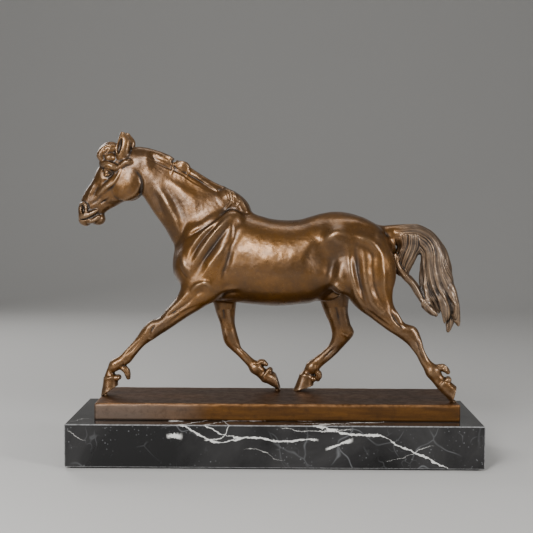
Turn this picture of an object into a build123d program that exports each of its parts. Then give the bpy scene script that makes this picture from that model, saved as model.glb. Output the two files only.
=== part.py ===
"""Bronze trotting horse on a cast bronze plinth and a polished black marble base.

Row frame, millimetres: +Z up, origin at the middle of the felt's underside, +X towards the
horse's tail, +Y towards its off (right) side. The horse stands turned by HORSE_TURN on its
plinth, so its castings are drawn in its own frame (along, across, up), with along running
from nose to tail, and HORSE puts them in their place.
"""

from build123d import *
import math
import os

# ---- driving dimensions -------------------------------------------------------------
BASE_LENGTH = 340.0
BASE_DEPTH = 120.0
BASE_THICK = 35.0
BASE_ARRIS = 0.8

FELT_THICK = 1.5
FELT_INSET = 4.0
FELT_CORNER = 2.0
FELT_HOLE_RADIUS = 11.0

PLINTH_LENGTH = 302.0
PLINTH_DEPTH = 82.0
PLINTH_THICK = 14.0
PLINTH_SHIFT = 2.0  # the plinth sits this far towards the tail
PLINTH_WALL = 5.0
PLINTH_EDGE = 1.2
PLINTH_CORNER = 2.5
BOSS_RADIUS = 8.0

STUD_SPACING = 200.0
STUD_RADIUS = 3.0
STUD_LENGTH = 39.0
STUD_IN_PLINTH = 9.0
STUD_PLAY = 0.05
STUD_END_CHAMFER = 0.5
MARBLE_HOLE_RADIUS = 3.5
COUNTERBORE_RADIUS = 10.0
COUNTERBORE_DEPTH = 12.0
WASHER_RADIUS = 9.0
WASHER_HOLE_RADIUS = 3.2
WASHER_THICK = 1.6
NUT_FLATS = 10.0
NUT_THICK = 5.0

HORSE_TURN = -4.5  # degrees about +Z
HORSE_CENTRE = (3.0, 7.0)
SHELL_WALL = 4.5  # thickness of the hollow castings
DOWEL_RADIUS = 1.2
DOWEL_IN_PLINTH = 4.0
DOWEL_LENGTH = 10.0

# ---- what follows from them ---------------------------------------------------------
MARBLE_BOTTOM = FELT_THICK
MARBLE_TOP = MARBLE_BOTTOM + BASE_THICK
GROUND = MARBLE_TOP + PLINTH_THICK  # the plinth's top, where the hooves stand
STUD_PLACES = [(PLINTH_SHIFT + side * STUD_SPACING / 2, 0) for side in (-1, 1)]
HORSE = Location((*HORSE_CENTRE, 0), (0, 0, HORSE_TURN))
UPRIGHT = (Align.CENTER, Align.CENTER, Align.MIN)

# ---- the figure's sections ----------------------------------------------------------
# Each is (along, up) of one edge of the outline, (along, up) of the opposite edge, and the
# half width across. They run from the trunk outwards.
TRUNK = [
    ((-88, 174), (-88, 152), 9),
    ((-80, 192), (-80, 140), 20),
    ((-66, 203), (-66, 134), 25.5),
    ((-47, 207), (-48, 131), 28),
    ((-25, 207), (-27, 129), 29.5),
    ((-4, 202), (-4, 127.3), 31),
    ((16, 201.6), (14, 128.5), 31.5),
    ((36, 207.4), (32, 132), 30.5),
    ((52, 208.9), (50, 143), 29),
    ((67, 205.8), (71, 152), 26),
    ((81, 199.4), (88, 162), 18.9),
    ((91, 193), (96, 172), 10.4),
]
NECK = [
    ((-22, 196), (-68, 143), 20),
    ((-30, 214), (-86, 148), 21),
    ((-42.8, 227), (-89.8, 164.4), 17.5),
    ((-57, 232), (-90, 175), 15),
    ((-71, 240), (-94.5, 184.5), 13),
    ((-85, 248), (-101, 195.5), 11.5),
    ((-98, 256), (-108, 206), 10.5),
    ((-110, 260.5), (-114, 215.5), 10),
    ((-124, 264), (-117.4, 221), 10),
    ((-130, 264.5), (-119.5, 221.5), 10),
]
HEAD = [
    ((-119, 263), (-112, 223.5), 10),
    ((-124, 264), (-117.4, 221.5), 10.2),
    ((-135, 261.5), (-124, 220.5), 10.8),
    ((-146, 256), (-133.5, 216), 11),
    ((-154, 251), (-141, 214), 10.5),
    ((-158.5, 243.5), (-145.5, 211), 9.6),
    ((-164, 234), (-149.5, 208), 8.2),
    ((-169.3, 226.4), (-153, 204), 7),
    ((-174, 217), (-156, 199), 6.4),
    ((-176.5, 209), (-160, 196), 6.4),
    ((-175, 202), (-166, 196), 5),
]
NEAR_FORELEG = [
    ((-78, 188), (-42, 183), 9),
    ((-82, 165), (-40, 155), 11),
    ((-81.5, 147), (-51, 136), 11),
    ((-84.5, 138), (-60, 128.7), 9.5),
    ((-92.7, 127.2), (-75, 119), 8),
    ((-101, 118), (-88, 110.5), 6.8),
    ((-107.8, 115.2), (-98, 103.8), 6.3),
    ((-115.5, 108), (-105, 98.8), 6.2),
    ((-120, 101), (-112.8, 94), 4.8),
    ((-127, 92.3), (-120.5, 84.8), 4),
    ((-134, 85), (-126, 77.5), 4.2),
    ((-142.5, 78.3), (-131, 70.5), 5.4),
    ((-146.3, 70.5), (-137.3, 68.5), 4.5),
    ((-148.8, 63.5), (-135, 65.5), 6),
]
OFF_FORELEG = [
    ((-76, 185), (-40, 185), 9),
    ((-73, 160), (-38, 158), 11),
    ((-66, 142), (-38, 140), 10.5),
    ((-59.6, 128.3), (-38.5, 129.5), 8.5),
    ((-56.3, 117.7), (-39.8, 118.5), 7.2),
    ((-53.3, 109), (-40.2, 109.5), 6.2),
    ((-51.8, 99.8), (-38.3, 101.5), 6.3),
    ((-49, 90.5), (-36.2, 95), 5.6),
    ((-43, 85), (-34.6, 88.5), 4.6),
    ((-35.8, 78.3), (-31, 82.8), 3.9),
    ((-30, 71.7), (-24, 77.5), 4.3),
    ((-25.1, 65.8), (-16, 74.5), 5.4),
    ((-19.3, 61.1), (-12, 70), 4.8),
    ((-15.8, 57), (-8.6, 68.6), 6),
]
NEAR_HINDLEG = [
    ((50, 192), (86, 190), 9),
    ((44, 170), (98, 170), 12.5),
    ((47, 151), (99.5, 152), 13),
    ((56, 140), (97.5, 142.5), 12),
    ((67, 128.5), (98, 133.5), 10.2),
    ((79.4, 119.3), (101.5, 125), 8.2),
    ((92, 110.5), (108, 116), 6.4),
    ((104.1, 102.5), (118.6, 112.3), 6.2),
    ((111, 96.6), (121.9, 101.5), 5.2),
    ((117, 89), (124.5, 93), 4.2),
    ((122.1, 79.7), (130, 84), 4),
    ((126.8, 71.5), (138.5, 79), 5.4),
    ((131.5, 65.5), (141, 72), 4.8),
    ((135.5, 60.8), (144.8, 70.6), 6),
]
OFF_HINDLEG = [
    ((46, 192), (80, 190), 9),
    ((34, 168), (84, 168), 12.5),
    ((33, 148), (70, 150), 12.5),
    ((35.1, 130), (61.5, 133), 10.5),
    ((38.5, 120.5), (60, 121.5), 8.5),
    ((43, 111), (62, 111), 7),
    ((45.5, 100.5), (65.5, 102), 6.3),
    ((37.3, 86.2), (45, 79), 4.2),
    ((30, 80), (38.5, 72), 4.2),
    ((24, 75.4), (34, 66), 5.4),
    ((20.8, 69), (30.5, 63.5), 4.8),
    ((16.9, 64.5), (30.2, 60.5), 6),
]
# A hoof goes straight from the coronet, a leg's last section, to this sole.
SOLES = {
    "near_foreleg": ((-150.8, 50), (-134.6, 60), 7.4),
    "off_foreleg": ((0.6, 50), (-4.6, 66), 7.2),
    "near_hindleg": ((147, 50), (151, 63.5), 7.0),
    "off_hindleg": ((11.2, 50), (29.8, 56), 7.4),
}
LEGS = {
    "near_foreleg": (NEAR_FORELEG, -1),
    "off_foreleg": (OFF_FORELEG, 1),
    "near_hindleg": (NEAR_HINDLEG, -1),
    "off_hindleg": (OFF_HINDLEG, 1),
}
DOWEL_ALONG = {
    "near_foreleg": -147.0,
    "off_foreleg": -3.0,
    "near_hindleg": 147.3,
    "off_hindleg": 15.0,
}
LEG_TOP_ACROSS = 16.0  # how far a leg's top is from the midline
LEG_FOOT_ACROSS = 22.0

TAIL_MASS = [
    ((84, 194), (86, 180), 7),
    ((96, 197.5), (97, 180), 8),
    ((108, 198.2), (109, 178), 8.5),
    ((121, 197.2), (118, 174), 9),
    ((132, 191), (122, 171), 9.5),
    ((140.5, 180.5), (121.5, 165), 9.5),
    ((145.5, 168), (120.2, 157), 9.5),
    ((148.3, 154), (120.6, 147.5), 9.5),
    ((150.3, 142), (121.5, 138), 9),
    ((152, 130), (129, 127), 7.5),
    ((153.6, 118), (139.5, 116.5), 5.5),
    ((152.8, 109), (145.3, 106.6), 2.6),
]
TAIL_FRONT_LOCK = [
    ((103, 192), (122, 192), 6),
    ((101.8, 182), (120.5, 181), 7),
    ((99.5, 174), (118.5, 171), 6.5),
    ((98.2, 167.5), (114, 163.5), 5.2),
    ((99.5, 160), (109.5, 156), 3.2),
]
TAIL_WISP = [
    ((99.5, 163.5), (104, 167), 3),
    ((105.8, 153.5), (110.2, 157), 3),
    ((116.8, 139), (121.2, 142.5), 3),
    ((126.8, 126.8), (131, 130.2), 2.8),
    ((133.8, 119.6), (136.2, 121.6), 1.6),
]
EAR_ACROSS = 6.4
EARS = {
    -1: (((-143, 261), (-134, 256.5), 3.6), ((-136.3, 277.5), (-135, 277.2), 0.7)),
    1: (((-139, 260.5), (-131, 257), 3.6), ((-131.4, 276), (-130.2, 275.7), 0.7)),
}
FORELOCK = ((-148.5, 260.5), (7.5, 6, 6.5))  # centre, then half sizes along, across and up
SHEATH = ((46, 137), (10, 4.5, 6))

# Where the castings are cut apart: (along, up) of a point, and the way that the cut faces.
NECK_SEAM = ((-66.3, 196.7), (-0.79, 0.61))
POLL_SEAM = ((-120.7, 242.5), (-0.99, -0.15))
LEG_SEAMS = {
    "near_foreleg": ((-84, 123), (-0.765, -0.646)),
    "off_foreleg": ((-48, 122.5), (0.1, -0.995)),
    "near_hindleg": ((87, 125.5), (0.69, -0.73)),
    "off_hindleg": ((48.7, 125.5), (0.1, -0.995)),
}
CUTTER = 400.0  # larger than anything that a seam cuts


# ---- shaping helpers ----------------------------------------------------------------
def section(edge, opposite, half_width, across=0.0, pull_in=0.0):
    """An oval outline that passes through edge and opposite; it is longest between them."""
    reach = ((edge[0] - opposite[0]) / 2, (edge[1] - opposite[1]) / 2)
    middle = (opposite[0] + reach[0], across, opposite[1] + reach[1])
    plane = Plane(origin=middle, x_dir=(reach[0], 0, reach[1]), z_dir=(-reach[1], 0, reach[0]))
    oval = plane * Ellipse(math.hypot(*reach) - pull_in, half_width - pull_in)
    return oval.wire()


def skin(outlines):
    """A solid through the outlines, straight from each to the next."""
    spans = [Solid.make_loft(pair, ruled=True) for pair in zip(outlines, outlines[1:])]
    solid = spans[0]
    for span in spans[1:]:
        solid += span
    return solid


def body(rings, pull_in=0.0):
    """A skin through sections on the midline."""
    return skin([section(*ring, pull_in=pull_in) for ring in rings])


def ellipsoid(centre, half_sizes):
    return Pos(centre[0], 0, centre[1]) * scale(Sphere(1), by=half_sizes)


def beyond(seam):
    """Everything on the far side of a seam, as one large block."""
    point, facing = seam
    plane = Plane(origin=(point[0], 0, point[1]), x_dir=(0, 1, 0), z_dir=(facing[0], 0, facing[1]))
    return plane * Box(CUTTER, CUTTER, CUTTER, align=UPRIGHT)


# ---- base, plinth and fasteners -----------------------------------------------------
def felt_sheet():
    outline = RectangleRounded(
        BASE_LENGTH - 2 * FELT_INSET, BASE_DEPTH - 2 * FELT_INSET, FELT_CORNER
    )
    sheet = extrude(outline, FELT_THICK)
    for x, y in STUD_PLACES:
        sheet -= Pos(x, y, 0) * Cylinder(FELT_HOLE_RADIUS, FELT_THICK, align=UPRIGHT)
    return sheet


def marble_base():
    block = Pos(0, 0, MARBLE_BOTTOM) * Box(BASE_LENGTH, BASE_DEPTH, BASE_THICK, align=UPRIGHT)
    block = chamfer(block.edges(), BASE_ARRIS)
    for x, y in STUD_PLACES:
        foot = Pos(x, y, MARBLE_BOTTOM)
        block -= foot * Cylinder(MARBLE_HOLE_RADIUS, BASE_THICK, align=UPRIGHT)
        block -= foot * Cylinder(COUNTERBORE_RADIUS, COUNTERBORE_DEPTH, align=UPRIGHT)
    return block


def bronze_plinth(dowels):
    """A shallow cast tray, upside down, with a boss for each stud."""
    outline = RectangleRounded(PLINTH_LENGTH, PLINTH_DEPTH, PLINTH_CORNER)
    tray = Pos(PLINTH_SHIFT, 0, MARBLE_TOP) * extrude(outline, PLINTH_THICK)
    tray = fillet(tray.edges().group_by(Axis.Z)[-1], PLINTH_EDGE)
    hollow_height = PLINTH_THICK - PLINTH_WALL
    tray -= Pos(PLINTH_SHIFT, 0, MARBLE_TOP) * Box(
        PLINTH_LENGTH - 2 * PLINTH_WALL,
        PLINTH_DEPTH - 2 * PLINTH_WALL,
        hollow_height,
        align=UPRIGHT,
    )
    for x, y in STUD_PLACES:
        foot = Pos(x, y, MARBLE_TOP)
        tray += foot * Cylinder(BOSS_RADIUS, hollow_height, align=UPRIGHT)
        tray -= foot * Cylinder(STUD_RADIUS + STUD_PLAY, STUD_IN_PLINTH + STUD_PLAY, align=UPRIGHT)
    return tray - dowels


def at_studs(shape):
    """The same fastener at each stud, as separate solids."""
    return Compound([Pos(x, y, 0) * shape for x, y in STUD_PLACES])


def stud():
    top = MARBLE_TOP + STUD_IN_PLINTH
    rod = Pos(0, 0, top - STUD_LENGTH) * Cylinder(STUD_RADIUS, STUD_LENGTH, align=UPRIGHT)
    return chamfer(rod.edges().filter_by(GeomType.CIRCLE), STUD_END_CHAMFER)


def washer():
    bottom = MARBLE_BOTTOM + COUNTERBORE_DEPTH - WASHER_THICK
    disc = Cylinder(WASHER_RADIUS, WASHER_THICK, align=UPRIGHT)
    return Pos(0, 0, bottom) * (disc - Cylinder(WASHER_HOLE_RADIUS, WASHER_THICK, align=UPRIGHT))


def nut():
    bottom = MARBLE_BOTTOM + COUNTERBORE_DEPTH - WASHER_THICK - NUT_THICK
    blank = extrude(RegularPolygon(NUT_FLATS / 2, 6, major_radius=False), NUT_THICK)
    thread = Cylinder(STUD_RADIUS + STUD_PLAY, NUT_THICK, align=UPRIGHT)
    return Pos(0, 0, bottom) * (blank - thread)


# ---- the horse's castings, in its own frame -----------------------------------------
def leg(name):
    """A whole leg, from inside the trunk to the sole."""
    rings, side = LEGS[name]
    top, foot = rings[0][0][1], rings[-1][0][1]
    outlines = []
    for edge, opposite, half_width in rings:
        share = (top - edge[1]) / (top - foot)
        across = side * (LEG_TOP_ACROSS + (LEG_FOOT_ACROSS - LEG_TOP_ACROSS) * share)
        outlines.append(section(edge, opposite, half_width, across))
    sole = section(*SOLES[name], across=side * LEG_FOOT_ACROSS)
    hoof = Solid.make_loft([outlines[-1], sole], ruled=True)
    above_ground = Pos(0, 0, GROUND) * Box(CUTTER * 2, CUTTER, CUTTER, align=UPRIGHT)
    return skin(outlines) + (hoof & above_ground)


def hoof_dowel(name):
    """The pin that holds one hoof to the plinth."""
    side = LEGS[name][1]
    place = Pos(DOWEL_ALONG[name], side * LEG_FOOT_ACROSS, GROUND - DOWEL_IN_PLINTH)
    return place * Cylinder(DOWEL_RADIUS, DOWEL_LENGTH, align=UPRIGHT)


def head():
    whole = body(HEAD) + ellipsoid(*FORELOCK)
    for side, (root, tip) in EARS.items():
        whole += Solid.make_loft([section(*ring, across=side * EAR_ACROSS) for ring in (root, tip)])
    return whole & beyond(POLL_SEAM)


def trunk_and_neck():
    """The hollow trunk with the uppers of the legs, and the hollow neck."""
    trunk = body(TRUNK) + ellipsoid(*SHEATH)
    neck = body(NECK)
    core = body(TRUNK[1:-1], SHELL_WALL) + body(NECK[1:], SHELL_WALL)
    for name, seam in LEG_SEAMS.items():
        trunk += leg(name) - beyond(seam)
    figure = (trunk + neck) - core
    above = beyond(NECK_SEAM)
    return figure - above, (figure & above) - beyond(POLL_SEAM)


def castings(dowels):
    """Every casting, each cut from its neighbours."""
    torso, neck = trunk_and_neck()
    made = {"torso": torso, "neck": neck, "head": head()}
    for name, seam in LEG_SEAMS.items():
        made[name] = (leg(name) & beyond(seam)) - dowels[name]
    made["tail"] = body(TAIL_MASS) + body(TAIL_FRONT_LOCK) + body(TAIL_WISP) - body(TRUNK) - torso
    return made


def main():
    os.makedirs("parts", exist_ok=True)
    dowels = {name: hoof_dowel(name) for name in LEGS}
    dowel_group = HORSE * Compound(list(dowels.values()))
    nodes = {name: HORSE * shape for name, shape in castings(dowels).items()}
    nodes["hoof_dowels"] = dowel_group
    nodes["bronze_plinth"] = bronze_plinth(dowel_group)
    nodes["marble_base"] = marble_base()
    nodes["felt_sheet"] = felt_sheet()
    nodes["plinth_studs"] = at_studs(stud())
    nodes["stud_washers"] = at_studs(washer())
    nodes["stud_nuts"] = at_studs(nut())
    for name, shape in nodes.items():
        export_step(shape, f"parts/{name}.step")


main()
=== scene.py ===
"""The bronze trotting horse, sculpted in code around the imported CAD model.

Every casting of the figure is modelled as clay: a field of signed distances in the horse's own
frame, in millimetres, with u running from nose to tail, v across the horse towards its off side,
and w up from the table. The clay is skinned, chased with strokes, cut at the castings' seams and
put in its place on the plinth.
"""

import functools
import math

import bmesh
import bpy
import numpy as np
from mathutils import Matrix, Vector


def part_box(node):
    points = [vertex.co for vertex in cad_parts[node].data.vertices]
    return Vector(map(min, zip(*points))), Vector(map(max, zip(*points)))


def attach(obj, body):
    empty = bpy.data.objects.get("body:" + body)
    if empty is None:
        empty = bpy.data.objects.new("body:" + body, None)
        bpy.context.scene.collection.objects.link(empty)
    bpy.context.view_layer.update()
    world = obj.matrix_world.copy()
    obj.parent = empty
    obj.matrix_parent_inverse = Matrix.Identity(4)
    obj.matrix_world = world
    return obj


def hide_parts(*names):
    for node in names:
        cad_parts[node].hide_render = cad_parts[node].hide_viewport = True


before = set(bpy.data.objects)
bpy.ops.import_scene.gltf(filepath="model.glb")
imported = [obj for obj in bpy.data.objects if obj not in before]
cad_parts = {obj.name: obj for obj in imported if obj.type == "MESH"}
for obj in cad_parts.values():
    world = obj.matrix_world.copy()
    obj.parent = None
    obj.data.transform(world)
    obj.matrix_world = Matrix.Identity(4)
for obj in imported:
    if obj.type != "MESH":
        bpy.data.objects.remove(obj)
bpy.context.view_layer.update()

MM = 0.001
FAR = 50.0  # clay field, millimetres, far from any surface

# ---- where the horse stands ---------------------------------------------------------
PLINTH_LOW, PLINTH_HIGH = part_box("bronze_plinth")
GROUND_W = 50.5  # the plinth's top in the horse's frame, millimetres
HORSE_TURN = math.radians(-4.5)
HORSE_FROM_PLINTH = (1.0, 7.0)  # the horse's axis from the plinth's middle, millimetres
HORSE_AT = (
    (PLINTH_LOW.x + PLINTH_HIGH.x) / 2 + HORSE_FROM_PLINTH[0] * MM,
    (PLINTH_LOW.y + PLINTH_HIGH.y) / 2 + HORSE_FROM_PLINTH[1] * MM,
    PLINTH_HIGH.z - GROUND_W * MM,
)


def turn_horse(vectors):
    """Directions in the horse's frame, turned to the row's frame."""
    cos, sin = math.cos(HORSE_TURN), math.sin(HORSE_TURN)
    u, v, w = vectors[:, 0], vectors[:, 1], vectors[:, 2]
    return np.stack([u * cos - v * sin, u * sin + v * cos, w], 1)


def to_world(points):
    """The horse's frame, millimetres, to the row's frame, metres."""
    return turn_horse(points) * MM + np.array(HORSE_AT)


# ---- noise --------------------------------------------------------------------------
HASH_X, HASH_Y, HASH_SEED, HASH_AGAIN = 374761393, 668265263, 982451653, 1274126177  # odd, large


def lattice(x, y, seed):
    """A random number from -1 to 1 for each pair of whole numbers, always the same one."""
    mixed = x.astype(np.int64) * HASH_X + y.astype(np.int64) * HASH_Y + seed * HASH_SEED
    mixed = (mixed ^ (mixed >> 13)) * HASH_AGAIN
    mixed = mixed ^ (mixed >> 16)
    return (mixed & 0xFFFF) / 32767.5 - 1


def noise(x, y, seed=0):
    """Smooth noise from about -1 to 1."""
    x0, y0 = np.floor(x), np.floor(y)
    fx, fy = x - x0, y - y0
    sx, sy = fx * fx * (3 - 2 * fx), fy * fy * (3 - 2 * fy)
    low = lattice(x0, y0, seed) * (1 - sx) + lattice(x0 + 1, y0, seed) * sx
    high = lattice(x0, y0 + 1, seed) * (1 - sx) + lattice(x0 + 1, y0 + 1, seed) * sx
    return low * (1 - sy) + high * sy


# ---- smooth lines through a few points ----------------------------------------------
def curve_through(stations, step):
    """Rows of numbers along a smooth curve; the first two columns set its length."""
    rows = np.array(stations, float)
    gaps = np.maximum(np.linalg.norm(np.diff(rows[:, :2], axis=0), axis=1), 1e-3)
    place = np.concatenate([[0], np.cumsum(gaps)])
    slope = np.gradient(rows, place, axis=0) if len(rows) > 2 else np.diff(rows, axis=0) / gaps[0]
    slope = np.broadcast_to(slope, rows.shape)
    at = np.linspace(0, place[-1], max(int(place[-1] / step) + 1, 2))
    i = np.clip(np.searchsorted(place, at, side="right") - 1, 0, len(gaps) - 1)
    t = ((at - place[i]) / gaps[i])[:, None]
    g = gaps[i][:, None]
    a, b, ma, mb = rows[i], rows[i + 1], slope[i] * g, slope[i + 1] * g
    return (
        a * (2 * t**3 - 3 * t**2 + 1)
        + ma * (t**3 - 2 * t**2 + t)
        + b * (3 * t**2 - 2 * t**3)
        + mb * (t**3 - t**2)
    )


# ---- clay shapes --------------------------------------------------------------------
class Shape:
    """A distance field with the box, in (u, v, w), that its surface lies in."""

    def __init__(self, low, high, field):
        self.low = np.array(low, float)
        self.high = np.array(high, float)
        self.field = field


class Sweep:
    """A limb: oval sections between two outline points, (u, w) each, along a smooth path.

    A ring is (outline point, opposite point, half width) and, if it lies off the middle, how far
    across the horse. A cap says how far the end bulges, as a share of the section; 0 is flat. With
    belly above 0 the section is narrower on the side of the first outline point.
    """

    STEP = 1.0  # between the sections along the path, millimetres

    def __init__(self, rings, power=2.0, caps=(1.0, 1.0), belly=0.0):
        rows = []
        for edge, opposite, half_width, *across in rings:
            middle = ((edge[0] + opposite[0]) / 2, (edge[1] + opposite[1]) / 2)
            reach = ((edge[0] - opposite[0]) / 2, (edge[1] - opposite[1]) / 2)
            rows.append([*middle, *reach, half_width, across[0] if across else 0.0])
        path = curve_through(rows, self.STEP)
        self.middle, reach = path[:, :2], path[:, 2:4]
        self.half, self.across = path[:, 4], path[:, 5]
        self.depth = np.linalg.norm(reach, axis=1)
        self.facing = reach / self.depth[:, None]
        self.power, self.caps, self.belly = power, caps, belly
        ends = np.concatenate([self.middle + reach, self.middle - reach])
        pad = float(self.half.max()) * 0.5
        low_v = (self.across - self.half).min()
        high_v = (self.across + self.half).max()
        self.low = np.array([ends[:, 0].min() - pad, low_v, ends[:, 1].min() - pad])
        self.high = np.array([ends[:, 0].max() + pad, high_v, ends[:, 1].max() + pad])

    def locate(self, u, w):
        """Where points of the side view lie between the sections.

        Gives the station along the path, the offset along the section, how far past an end, and
        the section's depth, half width and place across. A point belongs between two neighbouring
        sections when it is ahead of one and behind the next.
        """
        count = len(self.middle)
        normal = np.stack([-self.facing[:, 1], self.facing[:, 0]], 1)
        heading = np.gradient(self.middle, axis=0)
        normal *= np.where((heading * normal).sum(1) < 0, -1.0, 1.0)[:, None]
        best = np.full(u.shape, np.inf)
        station, past = np.zeros(u.shape), np.zeros(u.shape)
        ahead = None
        for i in range(count):
            du, dw = u - self.middle[i, 0], w - self.middle[i, 1]
            off = du * normal[i, 0] + dw * normal[i, 1]
            q = du * self.facing[i, 0] + dw * self.facing[i, 1]
            over = np.maximum(np.abs(q) - self.depth[i], 0)
            away = over * over + 0.01 * (q / self.depth[i]) ** 2
            if ahead is not None:
                between = (ahead >= 0) & (off < 0) & (away < best)
                share = ahead / np.where(between, ahead - off, 1)
                best = np.where(between, away, best)
                station = np.where(between, i - 1 + share, station)
                past = np.where(between, 0, past)
            beyond = -off if i == 0 else off
            if i in (0, count - 1):
                outside = (beyond >= 0) & (away + beyond * beyond < best)
                best = np.where(outside, away + beyond * beyond, best)
                station = np.where(outside, i, station)
                past = np.where(outside, beyond, past)
            ahead = off
        i = np.minimum(station.astype(int), count - 2)
        t = station - i

        def here(values):
            return values[i] * (1 - t) + values[i + 1] * t

        du, dw = u - here(self.middle[:, 0]), w - here(self.middle[:, 1])
        fu, fw = here(self.facing[:, 0]), here(self.facing[:, 1])
        q = (du * fu + dw * fw) / np.hypot(fu, fw)
        return station, q, past, here(self.depth), here(self.half), here(self.across)

    def field(self, u, v, w):
        """Distance from the limb's surface, from u and w as grids and v as a row."""
        station, q, past, depth, half, across = self.locate(u, w)
        half = half * (1 - self.belly * np.clip(q / depth, -1, 1))
        q, past, depth, half, across = (x[:, None, :] for x in (q, past, depth, half, across))
        side = v[None, :, None] - across
        at_start = (station < 1)[:, None, :]
        cap = np.where(at_start, self.caps[0], self.caps[1])
        rounded = np.where(cap > 0, past / np.maximum(cap * np.minimum(depth, half), 1e-3), 0)
        a, b = np.abs(q / depth), np.abs(side / half)
        k0 = (a**self.power + b**self.power + rounded**self.power) ** (1 / self.power)
        k1 = np.sqrt((q / depth**2) ** 2 + (side / half**2) ** 2 + (rounded / half) ** 2)
        away = k0 * (k0 - 1) / np.maximum(k1, 1e-2)
        return np.where((cap <= 0) & (past > 0), np.maximum(away, past), away)


def ellipsoid(centre, radii, tilt=0.0):
    """centre and radii as (u, v, w); tilt turns it in the side view, in degrees, u towards w."""
    cu, cv, cw = centre
    ru, rv, rw = radii
    cos, sin = math.cos(math.radians(tilt)), math.sin(math.radians(tilt))
    reach_u = math.hypot(ru * cos, rw * sin)
    reach_w = math.hypot(ru * sin, rw * cos)

    def field(u, v, w):
        du, dw = u - cu, w - cw
        a = (du * cos + dw * sin)[:, None, :]
        c = (-du * sin + dw * cos)[:, None, :]
        b = (v - cv)[None, :, None]
        k0 = np.sqrt((a / ru) ** 2 + (b / rv) ** 2 + (c / rw) ** 2)
        k1 = np.sqrt((a / ru**2) ** 2 + (b / rv**2) ** 2 + (c / rw**2) ** 2)
        return k0 * (k0 - 1) / np.maximum(k1, 1e-2)

    low = (cu - reach_u, cv - rv, cw - reach_w)
    high = (cu + reach_u, cv + rv, cw + reach_w)
    return Shape(low, high, field)


def rod(start, end, radius, end_radius=None, flat=1.0):
    """A round-ended tapered rod between two points; flat above 1 thins it across."""
    end_radius = radius if end_radius is None else end_radius
    p, d = np.array(start, float), np.array(end, float) - np.array(start, float)
    d_flat = d * (1, flat, 1)
    square = float(d_flat @ d_flat)

    def field(u, v, w):
        du, dw = (u - p[0])[:, None, :], (w - p[2])[:, None, :]
        dv = (v - p[1])[None, :, None] * flat
        t = np.clip((du * d_flat[0] + dv * d_flat[1] + dw * d_flat[2]) / square, 0, 1)
        away = np.sqrt(
            (du - t * d_flat[0]) ** 2 + (dv - t * d_flat[1]) ** 2 + (dw - t * d_flat[2]) ** 2
        )
        return away - (radius + (end_radius - radius) * t)

    wide = max(radius, end_radius)
    ends = np.array([p, p + d])
    return Shape(ends.min(0) - wide, ends.max(0) + wide, field)


ROD_LENGTH = 2.5


def strand(points, radii, flat=1.0):
    """Rods through a smooth line of points, as one list of shapes."""
    rows = [[u, w, v, r] for (u, v, w), r in zip(points, radii)]
    path = curve_through(rows, ROD_LENGTH)
    pairs = zip(path, path[1:])
    return [
        rod((a[0], a[2], a[1]), (b[0], b[2], b[1]), a[3], b[3], flat) for a, b in pairs
    ]


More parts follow.
